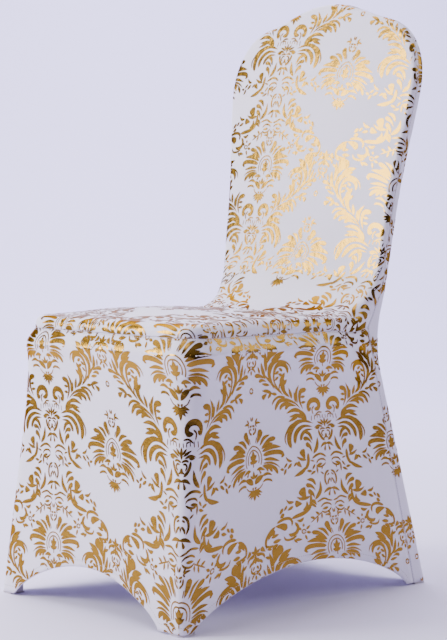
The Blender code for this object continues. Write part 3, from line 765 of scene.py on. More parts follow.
@dataclass(frozen=True)
class Damask:
    """The charted repeat: a lace column and a diamond column, half a drop apart."""

    width: float = 310.0
    height: float = 280.0
    mesh_step: float = 4.5
    joined: float = 1e-3

    def motif(self, kind: Kind) -> list[Array]:
        """Draws one column's motif.

        Args:
            kind: Which of the two columns.

        Returns:
            Closed outlines, from the middle of the palmette.
        """
        halves = [*PALMETTE, *CROWN]
        middles = list(PALMETTE_MIDDLE)
        bands = [arc_band((0, -1), 12.0, 2.0, -30, 210), arc_band((0, -1), 17.3, 1.9, -30, 210)]
        if kind is Kind.LACE:
            halves += [*LACE, *RISING, *FALLING]
            middles += LACE_MIDDLE
            bands += [arc_band((side * 62, -251), 3.7, 2.6, 0, 345, 0.75) for side in (-1, 1)]
        else:
            halves += raised(PINEAPPLE, self.height / 2)
            middles += raised(PINEAPPLE_MIDDLE, self.height / 2)
            bands.append(arc_band((0, 92), 3.4, 2.4, 0, 345))
        right, middle = ([Leaf(width, tip, tuple(points)).outline() for width, tip, *points in rows]
                         for rows in (halves, middles))
        left = [shape[::-1] * (-1, 1) for shape in right]
        return right + left + middle + bands

    def mesh(self, kind: Kind) -> tuple[Array, Array]:
        """One column's motif as small triangles.

        Args:
            kind: Which of the two columns.

        Returns:
            Points in millimetres, and triangles.
        """
        shapes = self.motif(kind)
        low = np.min([s.min(0) for s in shapes], axis=0)
        high = np.max([s.max(0) for s in shapes], axis=0)
        x, y = np.meshgrid(*(np.arange(low[k], high[k], self.mesh_step) for k in range(2)))
        grid = np.column_stack([x.ravel(), y.ravel()])
        grid = grid[np.any([inside_outline(grid, s) for s in shapes], axis=0)]
        points, loops, count = [grid], [], len(grid)
        for shape in shapes:
            points.append(shape)
            loops.append(list(range(count, count + len(shape))))
            count += len(shape)
        flat = [tuple(p) for p in np.vstack(points)]
        verts, _, faces, _, _, owners = delaunay_2d_cdt(flat, [], loops, INSIDE_ONLY, self.joined, True)
        kept = [tuple(f) for f, o in zip(faces, owners) if o]
        return np.array([tuple(v) for v in verts]), np.array(kept)


@dataclass(frozen=True)
class PrintLayout:
    """Where the repeat lies on a panel.

    Each column has its run at one level, its lean and two palmette levels. Sway is how far the stretched
    cloth carries the print aside, by level.
    """

    columns: Sequence[tuple[float, float, float, float]]
    first: Kind
    level: float
    rows: range
    sway: Sequence[tuple[float, float]] = ((0.0, 0.0),)

    def instances(self, damask: Damask) -> Iterable[tuple[Array, Array]]:
        """The motifs in the panel's flat pattern.

        Args:
            damask: The charted repeat.

        Yields:
            Flat points and triangles of each motif.
        """
        other = Kind.DIAMOND if self.first is Kind.LACE else Kind.LACE
        order = (self.first, other)
        meshes = {kind: damask.mesh(kind) for kind in Kind}
        places = np.arange(len(self.columns))
        run, lean, low, high = (column(self.columns, k) for k in range(4))
        ends = (run[1] - run[0], run[-1] - run[-2])
        for number in range(len(self.columns)):
            kind = order[number % 2]
            points, faces = meshes[kind]
            place = number + points[:, 0] / (damask.width / 2)
            across = np.interp(place, places, run)
            across += np.minimum(place, 0) * ends[0] + np.maximum(place - places[-1], 0) * ends[1]
            bottom, top = np.interp(place, places, low), np.interp(place, places, high)
            slant = np.interp(place, places, lean)
            for row in self.rows:
                share = row + points[:, 1] / damask.height - (0.5 if kind is Kind.DIAMOND else 0.0)
                level = bottom + (top - bottom) * share
                shift = np.interp(level, column(self.sway, 0), column(self.sway, 1))
                yield np.column_stack([across + slant * (self.level - level) + shift, level]), faces


@dataclass
class Panel:
    """One fitted cloth panel: a flat pattern, its map and its folds."""

    creases: list[Crease]

    def place(self, flat: Array) -> Array:
        """Fitted places of flat points."""
        raise NotImplementedError

    def pattern(self) -> tuple[Array, Array]:
        """The flat outline, and the flat points inside it."""
        raise NotImplementedError

    def pulled(self, flat: Array) -> tuple[Array, Array]:
        """Flat points pulled back onto the panel, and which of them were on it."""
        raise NotImplementedError

    def hold(self, flat: Array) -> Array:
        """How freely the cloth may move at flat points: 0 at a seam, 1 well inside."""
        return np.ones(len(flat))

    def inner_hem(self, flat: Array) -> Array:
        """How far flat points lie above the hem, if the panel has one."""
        return np.ones(len(flat))

    def stitch_rows(self) -> list[Array]:
        """Flat lines along which the panel is stitched."""
        return []

    def folded(self, flat: Array, out: Array) -> Array:
        """Fitted places with the folds.

        Args:
            flat: Flat points.
            out: Outward directions there.

        Returns:
            Places of the cloth's outer side.
        """
        lift = np.zeros(len(flat))
        for crease in self.creases:
            lift += crease.lift(flat)
        return self.place(flat) + out * (lift * self.hold(flat))[:, None]


@dataclass
class FrontPanel(Panel):
    """The one cut of cloth over the seat top and the front of the backrest."""

    free_from: float = 0.012
    seat_crown: float = 0.012
    back_crown: float = 0.006
    back_start: float = 0.420
    crown_ease: float = 0.130
    round_steps: tuple[float, ...] = (0.9, 0.8, 0.68, 0.56, 0.44, 0.33, 0.22, 0.11, 0.0)

    def __post_init__(self) -> None:
        """Draws the panel's edge and how it turns."""
        right = self._half_edge()
        left = right[::-1][1:-1] * (-1, 1)
        self.half = len(right)
        self.rail = Rail(np.vstack([right, left, right[:1]]))
        self.rail.outward[0] = self.rail.outward[-1] = (0.0, -1.0)
        self.rail.outward[self.half - 1] = (0.0, 1.0)
        self.waist = int(np.argmin(np.abs(right[:, 1] - WAIST_RUN) + (right[:, 0] < 0.15)))
        run = self.rail.points[:, 1]
        self.radius = np.interp(run, column(FRONT_TURN, 0), column(FRONT_TURN, 1))
        self.fall = np.interp(run, column(FRONT_TURN, 0), column(FRONT_TURN, 2))

    @staticmethod
    def _half_edge() -> Array:
        """Draws the right half of the edge.

        Returns:
            Its points, from the middle of the seat's front to the crown.
        """
        width = FRONT_EDGE[0][0]
        front = [(x, 0.0) for x in np.linspace(0.0, width - PAD_CORNER, 24, endpoint=False)]
        corner = [(width - PAD_CORNER + PAD_CORNER * math.sin(a), PAD_CORNER - PAD_CORNER * math.cos(a))
                  for a in np.linspace(0.0, math.pi / 2, 16, endpoint=False)]
        mirrored = (-FRONT_EDGE[-2][0], FRONT_EDGE[-2][1])
        return np.vstack([front, corner, curve_through((*FRONT_EDGE, mirrored), 12)[:-12]])

    def reach(self, place: Array) -> Array:
        """How far the flat cloth reaches out from the rail to the seam."""
        return self.rail.at(place, self.radius) * (math.pi / 2 - 1) + self.rail.at(place, self.fall)

    def flat_line(self, place: Array, turned: float) -> Array:
        """Flat points on a line beside the rail.

        Args:
            place: Places on the rail.
            turned: 0 at the start of the round, 1 at the seam.

        Returns:
            One flat point for each place.
        """
        radius = self.rail.at(place, self.radius)
        out = (self.reach(place) + radius) * turned - radius - SEAM_GAP * (turned == 1.0)
        return self.rail.beside(place, out)

    def crown(self, flat: Array) -> Array:
        """How far the padding lifts the cloth.

        Args:
            flat: Flat points.

        Returns:
            The lift at each point.
        """
        x = np.abs(flat[:, 0])
        run = flat[:, 1]
        edge = 1 - np.clip(x / FRONT_EDGE[0][0], 0, 1) ** 3
        seat = self.seat_crown * smooth(run / self.crown_ease) * smooth((SEAT_RUN - run) / self.crown_ease)
        back = self.back_crown * smooth((run - self.back_start) / self.crown_ease)
        return edge * (seat + back * smooth((FRONT_EDGE[-1][1] - run) / self.crown_ease))

    def place(self, flat: Array) -> Array:
        """Fits flat points: over the padding, round the edge and down to the seam.

        Args:
            flat: Flat points.

        Returns:
            Their places.
        """
        depth, near = self.rail.nearest(flat)
        foot = self.rail.at(near, self.rail.points)
        outward = self.rail.at(near, self.rail.outward)
        radius = self.rail.at(near, self.radius)
        over = np.maximum(radius - depth, 0.0)
        angle = np.minimum(over / radius, math.pi / 2)
        drop = radius * (1 - np.cos(angle)) + np.maximum(over - radius * math.pi / 2, 0.0)
        turned = foot - outward * (radius * (1 - np.sin(angle)))[:, None]
        under = np.where(over[:, None] > 0, turned, flat)
        middle, normal = front_profile(under[:, 1])
        lift = self.crown(under) - drop
        return np.column_stack([under[:, 0], middle + normal * lift[:, None]])

    def pulled(self, flat: Array) -> tuple[Array, Array]:
        """Pulls flat points back onto the panel.

        Args:
            flat: Flat points.

        Returns:
            The points on the panel, and which of them were on it.
        """
        depth, near = self.rail.nearest(flat)
        limit = self.reach(near) - 2 * SEAM_GAP
        inside = -depth < limit
        return np.where(inside[:, None], flat, self.rail.beside(near, limit)), inside

    def hold(self, flat: Array) -> Array:
        """How freely the cloth may move at flat points: 0 at the seam, 1 well inside."""
        depth, near = self.rail.nearest(flat)
        return smooth((depth + self.reach(near)) / self.free_from)

    def stops(self) -> tuple[int, int, int]:
        """Numbers of the rail's points at the waist and the crown."""
        total = len(self.rail.points) - 1
        return self.waist, self.half - 1, total - self.waist

    def pattern(self) -> tuple[Array, Array]:
        """Draws the flat panel.

        Returns:
            The flat outline, and the flat points inside it.
        """
        places = evenly(self.rail.points, EDGE_STEP, self.stops())[:-1]
        edge = self.flat_line(places, 1.0)
        rings = [self.flat_line(places, t) for t in self.round_steps]
        inner = grid_inside(edge, GRID, lambda p: self.rail.nearest(p)[0] > self.radius.max() + CLEAR)
        return edge, np.vstack([*rings, inner])

    def seam_places(self, first: float, last: float) -> Array:
        """Places of the seam's corners between two of the rail's points."""
        places = evenly(self.rail.points, EDGE_STEP, self.stops())
        return places[(places >= first - 1e-6) & (places <= last + 1e-6)]

    def seam(self, places: Array) -> Array:
        """Points of the seam in space."""
        return self.place(self.rail.beside(places, self.reach(places)))


@dataclass
class Skirt(Panel):
    """The band of cloth round the front and both sides, from the seat's seam to the arched hem."""

    front: FrontPanel
    free_from: float = 0.010
    seam_blend: float = 0.14
    hem_sag: float = 0.005
    frame_fade: float = 0.12
    front_arch_left: float = 0.0355
    front_arch_right: float = 0.0495
    front_arch_height: float = 0.0655
    side_arch_front: float = 0.0380
    side_arch_rear: float = 0.0150
    side_arch_height: float = 0.0700
    seam_rows: tuple[float, ...] = (0.003, 0.006, 0.010, 0.014, 0.018, 0.022, 0.026, 0.030)
    stitch_depth: float = 0.0026
    stitch_ends: tuple[float, float] = (0.003, 0.006)

    def __post_init__(self) -> None:
        """Takes the seam that the band shares with the front panel."""
        half = self.front.seam_places(0, self.front.waist)
        self.seam_points = self.front.seam(half)
        self.seam_run = way_along(self.seam_points[:, :2])
        top = np.full(len(half), SEAM_HEIGHT)
        self.top_end = self.end(top[:1], 1.0)[0]
        self.seam_run *= self.top_end / self.seam_run[-1]
        level, _ = self.level(self.seam_run, top, 1.0)
        self.seam_shift = self.seam_points - np.column_stack([level, top])

    def corners(self, height: Array, side: Array) -> tuple[Array, Array, Array, Array]:
        """The plan of level lines round the band.

        Args:
            height: Heights of the lines.
            side: 1 for the right half, -1 for the left one.

        Returns:
            The middle of the front, the corner, the rear end and the corner's radius.
        """
        fall = 1.0 - height / SEAM_HEIGHT
        seam = np.array(SEAM_CORNER)
        both = {name: seam + fall[:, None] * (np.array(foot) - seam) for name, foot in FOOT_CORNERS.items()}
        left = both["left"] * (-1, 1)
        middle = (left + both["right"]) / 2
        corner = np.where(side[:, None] > 0, both["right"], left)
        rear = np.array(WAIST_LINE) + fall[:, None] * (np.array(REAR_FOOT_LINE) - np.array(WAIST_LINE))
        rear = rear * np.column_stack([side, np.ones_like(side)])
        radius = PAD_CORNER + np.clip(fall, 0, 1.2) * (FOOT_CORNER_RADIUS - PAD_CORNER)
        return middle, corner, rear, radius

    def measures(self, height: Array, side: Array) -> tuple[Array, ...]:
        """The stretches of level lines.

        Args:
            height: Heights of the lines.
            side: 1 for the right half, -1 for the left one.

        Returns:
            Middle and direction of the front, the arc's radius and angle, lengths of front and side.
        """
        middle, corner, rear, radius = self.corners(height, side)
        first = corner - middle
        second = rear - corner
        len1 = np.linalg.norm(first, axis=1)
        len2 = np.linalg.norm(second, axis=1)
        bend = np.arccos(np.clip((first * second).sum(1) / (len1 * len2), -1, 1))
        reach = radius * np.tan(bend / 2)
        return middle, first / len1[:, None], radius, bend, len1 - reach, len2 - reach

    def end(self, height: Array, side: float) -> Array:
        """How far level lines run from the middle of the front to their rear end."""
        _, _, radius, bend, first, second = self.measures(height, np.full(len(height), side))
        return first + radius * bend + second

    def level(self, run: Array, height: Array, side: Array | float) -> tuple[Array, Array]:
        """Walks along level lines.

        Args:
            run: Distances from the middle of the front.
            height: Heights of the lines.
            side: 1 for the right half, -1 for the left one.

        Returns:
            Plan points, and their outward directions.
        """
        side = np.broadcast_to(np.asarray(side, float), run.shape)
        middle, ahead, radius, bend, first, _ = self.measures(height, side)
        left = np.column_stack([-ahead[:, 1], ahead[:, 0]]) * side[:, None]
        angle = np.clip((run - first) / radius, 0, bend)
        cos, sin = np.cos(angle)[:, None], np.sin(angle)[:, None]
        place = middle + ahead * np.minimum(run, first)[:, None]
        place = place + radius[:, None] * (ahead * sin + left * (1 - cos))
        heading = ahead * cos + left * sin
        place = place + heading * np.maximum(run - first - radius * bend, 0)[:, None]
        return place, np.column_stack([heading[:, 1], -heading[:, 0]]) * side[:, None]

    def place(self, flat: Array) -> Array:
        """Fits flat points, which are the run from the front's middle and the height.

        Args:
            flat: Flat points.

        Returns:
            Their places.
        """
        run, height = np.abs(flat[:, 0]), flat[:, 1]
        side = np.where(flat[:, 0] >= 0, 1.0, -1.0)
        plan, outward = self.level(run, height, side)
        _, _, radius, bend, first, second = self.measures(height, side)
        share = np.clip((run - first) / (radius * bend + second), 0, None)
        top_first = self.measures(np.full(len(run), SEAM_HEIGHT), side)[4]
        beyond = top_first + share * (self.top_end - top_first)
        seam_run = np.where(run < first, run * top_first / first, beyond)
        fade = smooth(1 - (1 - height / SEAM_HEIGHT) / (self.seam_blend / SEAM_HEIGHT))
        shift = np.column_stack([np.interp(seam_run, self.seam_run, way) for way in self.seam_shift.T])
        shift = shift * fade[:, None] * np.column_stack([side, np.ones((len(side), 2))])
        swell = np.interp(SEAM_HEIGHT - height, column(FRAME_EDGE, 0), column(FRAME_EDGE, 1))
        swell = swell * smooth((self.top_end - seam_run) / self.frame_fade)
        middle = np.sin(np.pi * np.clip(run / first, 0, 1) + np.pi / 2) * (run < first)
        aside = np.sin(np.pi * np.clip(share, 0, 1)) * (run >= first)
        sag = self.hem_sag * np.clip(1 - height / SEAM_HEIGHT, 0, 1) ** 2 * (np.maximum(middle, 0) + aside)
        plan = plan + outward * (swell - sag)[:, None]
        return np.column_stack([plan, height]) + shift

    def pulled(self, flat: Array) -> tuple[Array, Array]:
        """Pulls flat points back onto the band.

        Args:
            flat: Flat points.

        Returns:
            The points on the band, and which of them were on it.
        """
        height = np.clip(flat[:, 1], self.hem(flat[:, 0]) + PRINT_EDGE, SEAM_HEIGHT - 2 * SEAM_GAP)
        reach = self.end(height, 1.0) - 2 * SEAM_GAP
        kept = np.column_stack([np.clip(flat[:, 0], -reach, reach), height])
        return kept, (np.abs(kept - flat) < SAME).all(1)

    def hold(self, flat: Array) -> Array:
        """How freely the cloth may move at flat points: 0 at a seam, 1 well inside."""
        side = self.end(flat[:, 1], 1.0) - np.abs(flat[:, 0])
        return smooth((SEAM_HEIGHT - flat[:, 1]) / self.free_from) * smooth(side / self.free_from)

    def inner_hem(self, flat: Array) -> Array:
        """How far flat points lie above the hem."""
        return flat[:, 1] - self.hem(flat[:, 0])

    def hem(self, run: Array) -> Array:
        """Draws the arched hem.

        Args:
            run: Distances along the band from the front's middle.

        Returns:
            The hem's height there.
        """
        floor = np.zeros(1)
        height = np.full(len(run), HEM_FOOT)
        for side in (-1.0, 1.0):
            corner = self.measures(floor, np.array([side]))
            start = corner[4][0] + self.side_arch_front - FOOT_CORNER_RADIUS
            stop = self.end(floor, side)[0] - self.side_arch_rear
            share = (run * side - start) / (stop - start)
            height = np.maximum(height, arch(share, self.side_arch_height))
        ends = [self.measures(floor, np.array([s]))[4][0] + FOOT_CORNER_RADIUS for s in (-1.0, 1.0)]
        start, stop = -(ends[0] - self.front_arch_left), ends[1] - self.front_arch_right
        return np.maximum(height, arch((run - start) / (stop - start), self.front_arch_height))

    def stitch_rows(self) -> list[Array]:
        """Draws the flat lines along which the band is stitched.

        Returns:
            A row under the seat's seam and one over the hem.
        """
        height = SEAM_HEIGHT - self.stitch_depth
        reach = self.end(np.array([height]), 1.0)[0] - self.stitch_ends[0]
        runs = np.arange(-reach, reach, ROW_STEP)
        low = self.end(np.array([HEM_FOLD]), 1.0)[0] - self.stitch_ends[1]
        hems = np.arange(-low, low, ROW_STEP)
        return [np.column_stack([runs, np.full(len(runs), height)]),
                np.column_stack([hems, self.hem(hems) + HEM_FOLD])]

    def pattern(self) -> tuple[Array, Array]:
        """Draws the flat band.

        Returns:
            The flat outline, and the flat points inside it.
        """
        top_runs = np.concatenate([-self.seam_run[::-1], self.seam_run[1:]])
        top = np.column_stack([top_runs, np.full(len(top_runs), SEAM_HEIGHT - SEAM_GAP)])
        heights = rear_heights()
        right = np.column_stack([self.end(heights, 1.0) - SEAM_GAP, heights])
        left = right * (-1, 1)
        reach = self.end(np.array([HEM_FOOT]), 1.0)[0] - SEAM_GAP
        runs = np.linspace(-reach, reach, 2 * round(reach / EDGE_STEP) + 1)
        hem = np.column_stack([runs, self.hem(runs)])
        edge = np.vstack([hem, right[1:-1], top[::-1], left[::-1][1:-1]])
        rows = [np.column_stack([top_runs, np.full(len(top_runs), SEAM_HEIGHT - depth)])
                for depth in self.seam_rows]
        top_limit = SEAM_HEIGHT - self.seam_rows[-1] - CLEAR
        inner = grid_inside(edge, GRID, lambda p: (p[:, 1] < top_limit)
                            & (p[:, 1] > self.hem(p[:, 0]) + CLEAR)
                            & (np.abs(p[:, 0]) < self.end(p[:, 1], 1.0) - WIDE_CLEAR))
        rows = [row[np.abs(row[:, 0]) < self.end(row[:, 1], 1.0) - CLEAR] for row in rows]
        return edge, np.vstack([*rows, inner])


def rear_heights() -> Array:
    """Heights of the corners of the seam down each rear leg."""
    return np.concatenate([np.linspace(HEM_FOOT, SEAM_HEIGHT - 0.006, 78), [SEAM_HEIGHT]])


@dataclass
class BackPanel(Panel):
    """The cloth over the rear face, wrapped round the backrest's edge and the rear legs' sides."""

    front: FrontPanel
    skirt: Skirt
    free_from: float = 0.020
    arch_foot: float = 0.0340
    arch_height: float = 0.0650
    round_steps: tuple[float, ...] = (0.85, 0.68, 0.52, 0.40, 0.30, 0.20, 0.10, 0.0)
    stitch_turn: float = 0.93
    stitch_end: float = 0.002

    def __post_init__(self) -> None:
        """Takes the seams that the panel shares with the two others."""
        front, skirt = self.front, self.skirt
        low = np.concatenate([[-0.04], rear_heights()])
        legs = skirt.place(np.column_stack([skirt.end(low, 1.0), low]))
        top = front.seam(front.seam_places(front.waist, front.half - 1))
        right = np.vstack([legs[:-1], top])
        self.seam_points = np.vstack([right, right[::-1][1:] * (-1, 1, 1)])
        runs = np.arange(-0.06, 1.05, 0.0001)
        middle, _ = rear_profile(runs)
        gap = self.seam_points[:, None, 1:] - middle[None]
        far = (gap ** 2).sum(2)
        self.rail = Rail(np.column_stack([self.seam_points[:, 0], runs[far.argmin(1)]]))
        self.rail.outward[len(right) - 1] = (0.0, 1.0)
        self.wrap = np.sqrt(far.min(1))

    def flat_line(self, place: Array, turned: float) -> Array:
        """Flat points on a line beside the rail.

        Args:
            place: Places on the rail.
            turned: 0 at the start of the round, 1 at the seam.

        Returns:
            One flat point for each place.
        """
        strip = self.rail.at(place, self.wrap) - REAR_ROUND
        out = (REAR_ROUND * math.pi / 2 + strip) * turned - REAR_ROUND - SEAM_GAP * (turned == 1.0)
        return self.rail.beside(place, out)

    def place(self, flat: Array) -> Array:
        """Fits flat points: over the rear face, round its edge and forward to the seam.

        Args:
            flat: Flat points.

        Returns:
            Their places.
        """
        depth, near = self.rail.nearest(flat)
        foot = self.rail.at(near, self.rail.points)
        outward = self.rail.at(near, self.rail.outward)
        over = np.maximum(REAR_ROUND - depth, 0.0)
        angle = np.minimum(over / REAR_ROUND, math.pi / 2)
        turned = foot - outward * (REAR_ROUND * (1 - np.sin(angle)))[:, None]
        under = np.where(over[:, None] > 0, turned, flat)
        middle, normal = rear_profile(under[:, 1])
        drop = REAR_ROUND * (1 - np.cos(angle))
        place = np.column_stack([under[:, 0], middle - normal * drop[:, None]])
        strip = self.rail.at(near, self.wrap) - REAR_ROUND
        share = np.maximum(over - REAR_ROUND * math.pi / 2, 0.0) / strip
        seam = self.rail.at(near, self.seam_points)
        return place + (seam - place) * share[:, None]

    def pulled(self, flat: Array) -> tuple[Array, Array]:
        """Pulls flat points back onto the panel.

        Args:
            flat: Flat points.

        Returns:
            The points on the panel, and which of them were on it.
        """
        depth, near = self.rail.nearest(flat)
        limit = self.rail.at(near, self.wrap) + REAR_ROUND * (math.pi / 2 - 2) - 2 * SEAM_GAP
        kept = np.where((-depth < limit)[:, None], flat, self.rail.beside(near, limit))
        for _ in range(3):
            short = self.hem(kept[:, 0]) + PRINT_EDGE - self.place(kept)[:, 2]
            kept = kept + np.column_stack([np.zeros(len(kept)), np.maximum(short, 0)])
        return kept, (np.abs(kept - flat) < SAME).all(1)

    def hold(self, flat: Array) -> Array:
        """How freely the cloth may move at flat points: 0 at the seam, 1 well inside."""
        depth, near = self.rail.nearest(flat)
        return smooth((depth + self.rail.at(near, self.wrap)) / self.free_from)

    def inner_hem(self, flat: Array) -> Array:
        """How far flat points lie above the hem."""
        return flat[:, 1] - self.hem(flat[:, 0])

    def hem(self, across: Array) -> Array:
        """Height of the rear hem, by the distance from the middle."""
        inner = REAR_FOOT_LINE[0] - self.arch_foot
        return np.maximum(HEM_FOOT, arch((across + inner) / (2 * inner), self.arch_height))

    def stitch_rows(self) -> list[Array]:
        """Draws the flat lines along which the panel is stitched.

        Returns:
            A row beside its seam and one over the hem.
        """
        places = np.arange(3, len(self.rail.points) - 3, dtype=float)
        inner = REAR_FOOT_LINE[0] - REAR_ROUND - self.stitch_end
        across = np.linspace(-inner, inner, 300)
        over_hem = np.column_stack([across, self.hem(across) + HEM_FOLD])
        return [self.flat_line(places, self.stitch_turn), over_hem]

    def pattern(self) -> tuple[Array, Array]:
        """Draws the flat panel.

        Returns:
            The flat outline, and the flat points inside it.
        """
        places = np.arange(1, len(self.rail.points) - 1, dtype=float)
        edge = self.flat_line(places, 1.0)
        rings = [self.flat_line(places[1:-1], t) for t in self.round_steps]
        strip = np.vstack([self.flat_line(places[:1], t) for t in np.linspace(0.9, 0, 10)])[:, 0]
        inner = REAR_FOOT_LINE[0] - self.arch_foot
        bow = inner * np.sin(np.linspace(0, math.pi / 2, 33))
        half = np.concatenate([bow[1:], np.linspace(bow[-1], strip[-1], 6)[1:-1], strip[::-1]])
        across = np.concatenate([-half[::-1], [0.0], half])
        hem = np.column_stack([across, self.hem(across)])
        for _ in range(4):
            hem[:, 1] += self.hem(across) - self.place(hem)[:, 2]
        outline = np.vstack([hem, edge])
        grid = grid_inside(outline, GRID, lambda p: (self.rail.nearest(p)[0] > REAR_ROUND + CLEAR)
                           & (p[:, 1] > self.hem(p[:, 0]) + WIDE_CLEAR))
        return outline, np.vstack([*rings, grid])


@dataclass
class SheetBuild:
    """A panel's cloth, the foil print on it and its stitches."""

    part: str
    node: str
    panel: Panel
    layout: PrintLayout
    flat_size: tuple[float, float]
    flip: bool = False

    def outward(self, flat: Array) -> Array:
        """Outward directions of the panel at flat points."""
        return surface_normals(self.panel.place, flat) * (-1 if self.flip else 1)

    def cloth(self) -> bpy.types.Object:
        """Makes the cloth, a thin closed sheet.

        Returns:
            The cloth's object.
        """
        outline, inner = self.panel.pattern()
        flat = [tuple(p) for p in np.vstack([outline, inner])]
        loop = list(range(len(outline)))
        verts, _, faces, _, _, owners = delaunay_2d_cdt(flat, [], [loop], INSIDE_ONLY, JOINED, True)
        faces = [tuple(f) for f, o in zip(faces, owners) if o]
        if self.flip:
            faces = [f[::-1] for f in faces]
        flat = np.array([tuple(v) for v in verts])
        out = self.outward(flat)
        outer = self.panel.folded(flat, out)
        count = len(flat)
        under = [tuple(i + count for i in f[::-1]) for f in faces]
        sides = [(b, a, a + count, b + count) for a, b in rim_edges(faces)]
        above = self.panel.inner_hem(flat)
        thick = CLOTH * (1 + HEM_EXTRA * smooth(1 - (above - HEM_FOLD) / HEM_STEP))
        points = np.vstack([outer, outer - out * thick[:, None]])
        return make_object(f"{self.part}_cloth", points, faces + under + sides, np.vstack([flat, flat]))

    def thread(self, rows: Iterable[Array]) -> bpy.types.Object:
        """Makes the panel's seam stitches.

        Args:
            rows: Flat lines that the stitches follow.

        Returns:
            The stitches as one object.
        """
        points, flats, faces = [], [], []
        for row in rows:
            length = way_along(row)
            starts = np.arange(STITCH_FIRST, length[-1] - STITCH_LAST, STITCH_PITCH)
            ends = np.column_stack([starts, starts + STITCH_PITCH * STITCH_SHARE])
            flat = np.column_stack([np.interp(ends.ravel(), length, row[:, k]) for k in range(2)])
            out = self.outward(flat)
            place = self.panel.folded(flat, out) + out * (STITCH_HALF * STITCH_LIFT)
            for k in range(0, len(flat), 2):
                a, b, n = place[k], place[k + 1], out[k]
                aside = np.cross(b - a, n)
                aside *= STITCH_HALF / np.linalg.norm(aside)
                low, high = a + (b - a) * STITCH_TAPER, b - (b - a) * STITCH_TAPER
                up = n * STITCH_HALF
                first = len(points)
                points += [a - up, low - aside, low + up, low + aside]
                points += [high - aside, high + up, high + aside, b - up]
                flats += [flat[k]] * 8
                faces += [tuple(first + i for i in face) for face in STITCH_FACES]
        return make_object(f"{self.part}_cloth_thread", np.array(points), faces, np.array(flats))

    def foil(self, damask: Damask) -> bpy.types.Object:
        """Makes the print, a skin just over the cloth.

        Args:
            damask: The charted repeat.

        Returns:
            The print's object.
        """
        outline, _ = self.panel.pattern()
        low, high = outline.min(0) - 0.001, outline.max(0) + 0.001
        points, faces, count = [], [], 0
        for flat, triangles in self.layout.instances(damask):
            boxed = ((flat > low) & (flat < high)).all(1)
            near = triangles[boxed[triangles].any(1)]
            if len(near) == 0:
                continue
            used, near = renumbered(near)
            flat, inside = self.panel.pulled(flat[used])
            near = near[inside[near].any(1)]
            a, b, c = (flat[near[:, k]] for k in range(3))
            area = (b[:, 0] - a[:, 0]) * (c[:, 1] - a[:, 1]) - (b[:, 1] - a[:, 1]) * (c[:, 0] - a[:, 0])
            near = near[area > SMALLEST_AREA]
            points.append(flat)
            faces.append(near + count)
            count += len(flat)
        used, faces = renumbered(np.vstack(faces))
        flat = np.vstack(points)[used]
        if self.flip:
            faces = faces[:, ::-1]
        out = self.outward(flat)
        points = self.panel.folded(flat, out) + out * FOIL_LIFT
        return make_object(f"{self.part}_print", points, [tuple(map(int, f)) for f in faces], flat)

    def dress(self, damask: Damask, knit: bpy.types.Material, gold: bpy.types.Material,
              thread_and_shade: bpy.types.Material) -> None:
        """Makes the panel's pieces with their materials, and hides the panel's solid.

        Args:
            damask: The charted repeat.
            knit: The cloth's material.
            gold: The print's material.
            thread_and_shade: The stitches' material, darker than the knit: the thread's own colour and
                painted shade of the seam.
        """
        cloth, foil = self.cloth(), self.foil(damask)
        cloth.data.materials.append(knit)
        foil.data.materials.append(gold)
        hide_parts(self.node)
        pieces = [foil]
        rows = self.panel.stitch_rows()
        if rows:
            pieces.append(self.thread(rows))
            pieces[-1].data.materials.append(thread_and_shade)


def renumbered(faces: Array) -> tuple[Array, Array]:
    """Drops the corners that no face uses.

    Args:
        faces: Faces by their corners.

    Returns:
        The corners that are used, and the faces by their new numbers.
    """
    used, number = np.unique(faces, return_inverse=True)
    return used, number.reshape(faces.shape)


def rim_edges(faces: list[tuple]) -> list[tuple[int, int]]:
    """Edges that only one face has, in that face's direction."""
    seen = {(f[i], f[(i + 1) % len(f)]) for f in faces for i in range(len(f))}
    return [(a, b) for a, b in seen if (b, a) not in seen]


def bare_object(name: str, points: Array, faces: list[tuple]) -> bpy.types.Object:
    """A smooth mesh object that rides with the cover.

    Args:
        name: Name of the piece.
        points: Corners in floor coordinates.
        faces: Faces by their corners.

    Returns:
        The new object.
    """
    mesh = bpy.data.meshes.new(name)
    mesh.from_pydata([tuple(p) for p in points - np.array(HELD_POINT)], [], faces)
    mesh.shade_smooth()
    piece = bpy.data.objects.new(name, mesh)
    bpy.context.scene.collection.objects.link(piece)
    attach(piece, "root")
    LOG.info("%s: %d faces", name, len(faces))
    return piece


def make_object(name: str, points: Array, faces: list[tuple], flat: Array) -> bpy.types.Object:
    """A mesh object with its flat pattern as the image map.

    Args:
        name: Name of the piece.
        points: Corners in floor coordinates.
        faces: Faces by their corners.
        flat: Flat pattern's points for the corners.

    Returns:
        The new object.
    """
    piece = bare_object(name, points, faces)
    mesh = piece.data
    low, high = flat.min(0), flat.max(0)
    span = float((high - low).max())
    spots = (flat - low) / span * (1 - 2 * MAP_RIM) + MAP_RIM
    layer = mesh.uv_layers.new(name="OFBake")
    index = np.empty(len(mesh.loops), dtype=np.int32)
    mesh.loops.foreach_get("vertex_index", index)
    layer.data.foreach_set("uv", spots[index].astype(np.float32).ravel())
    return piece


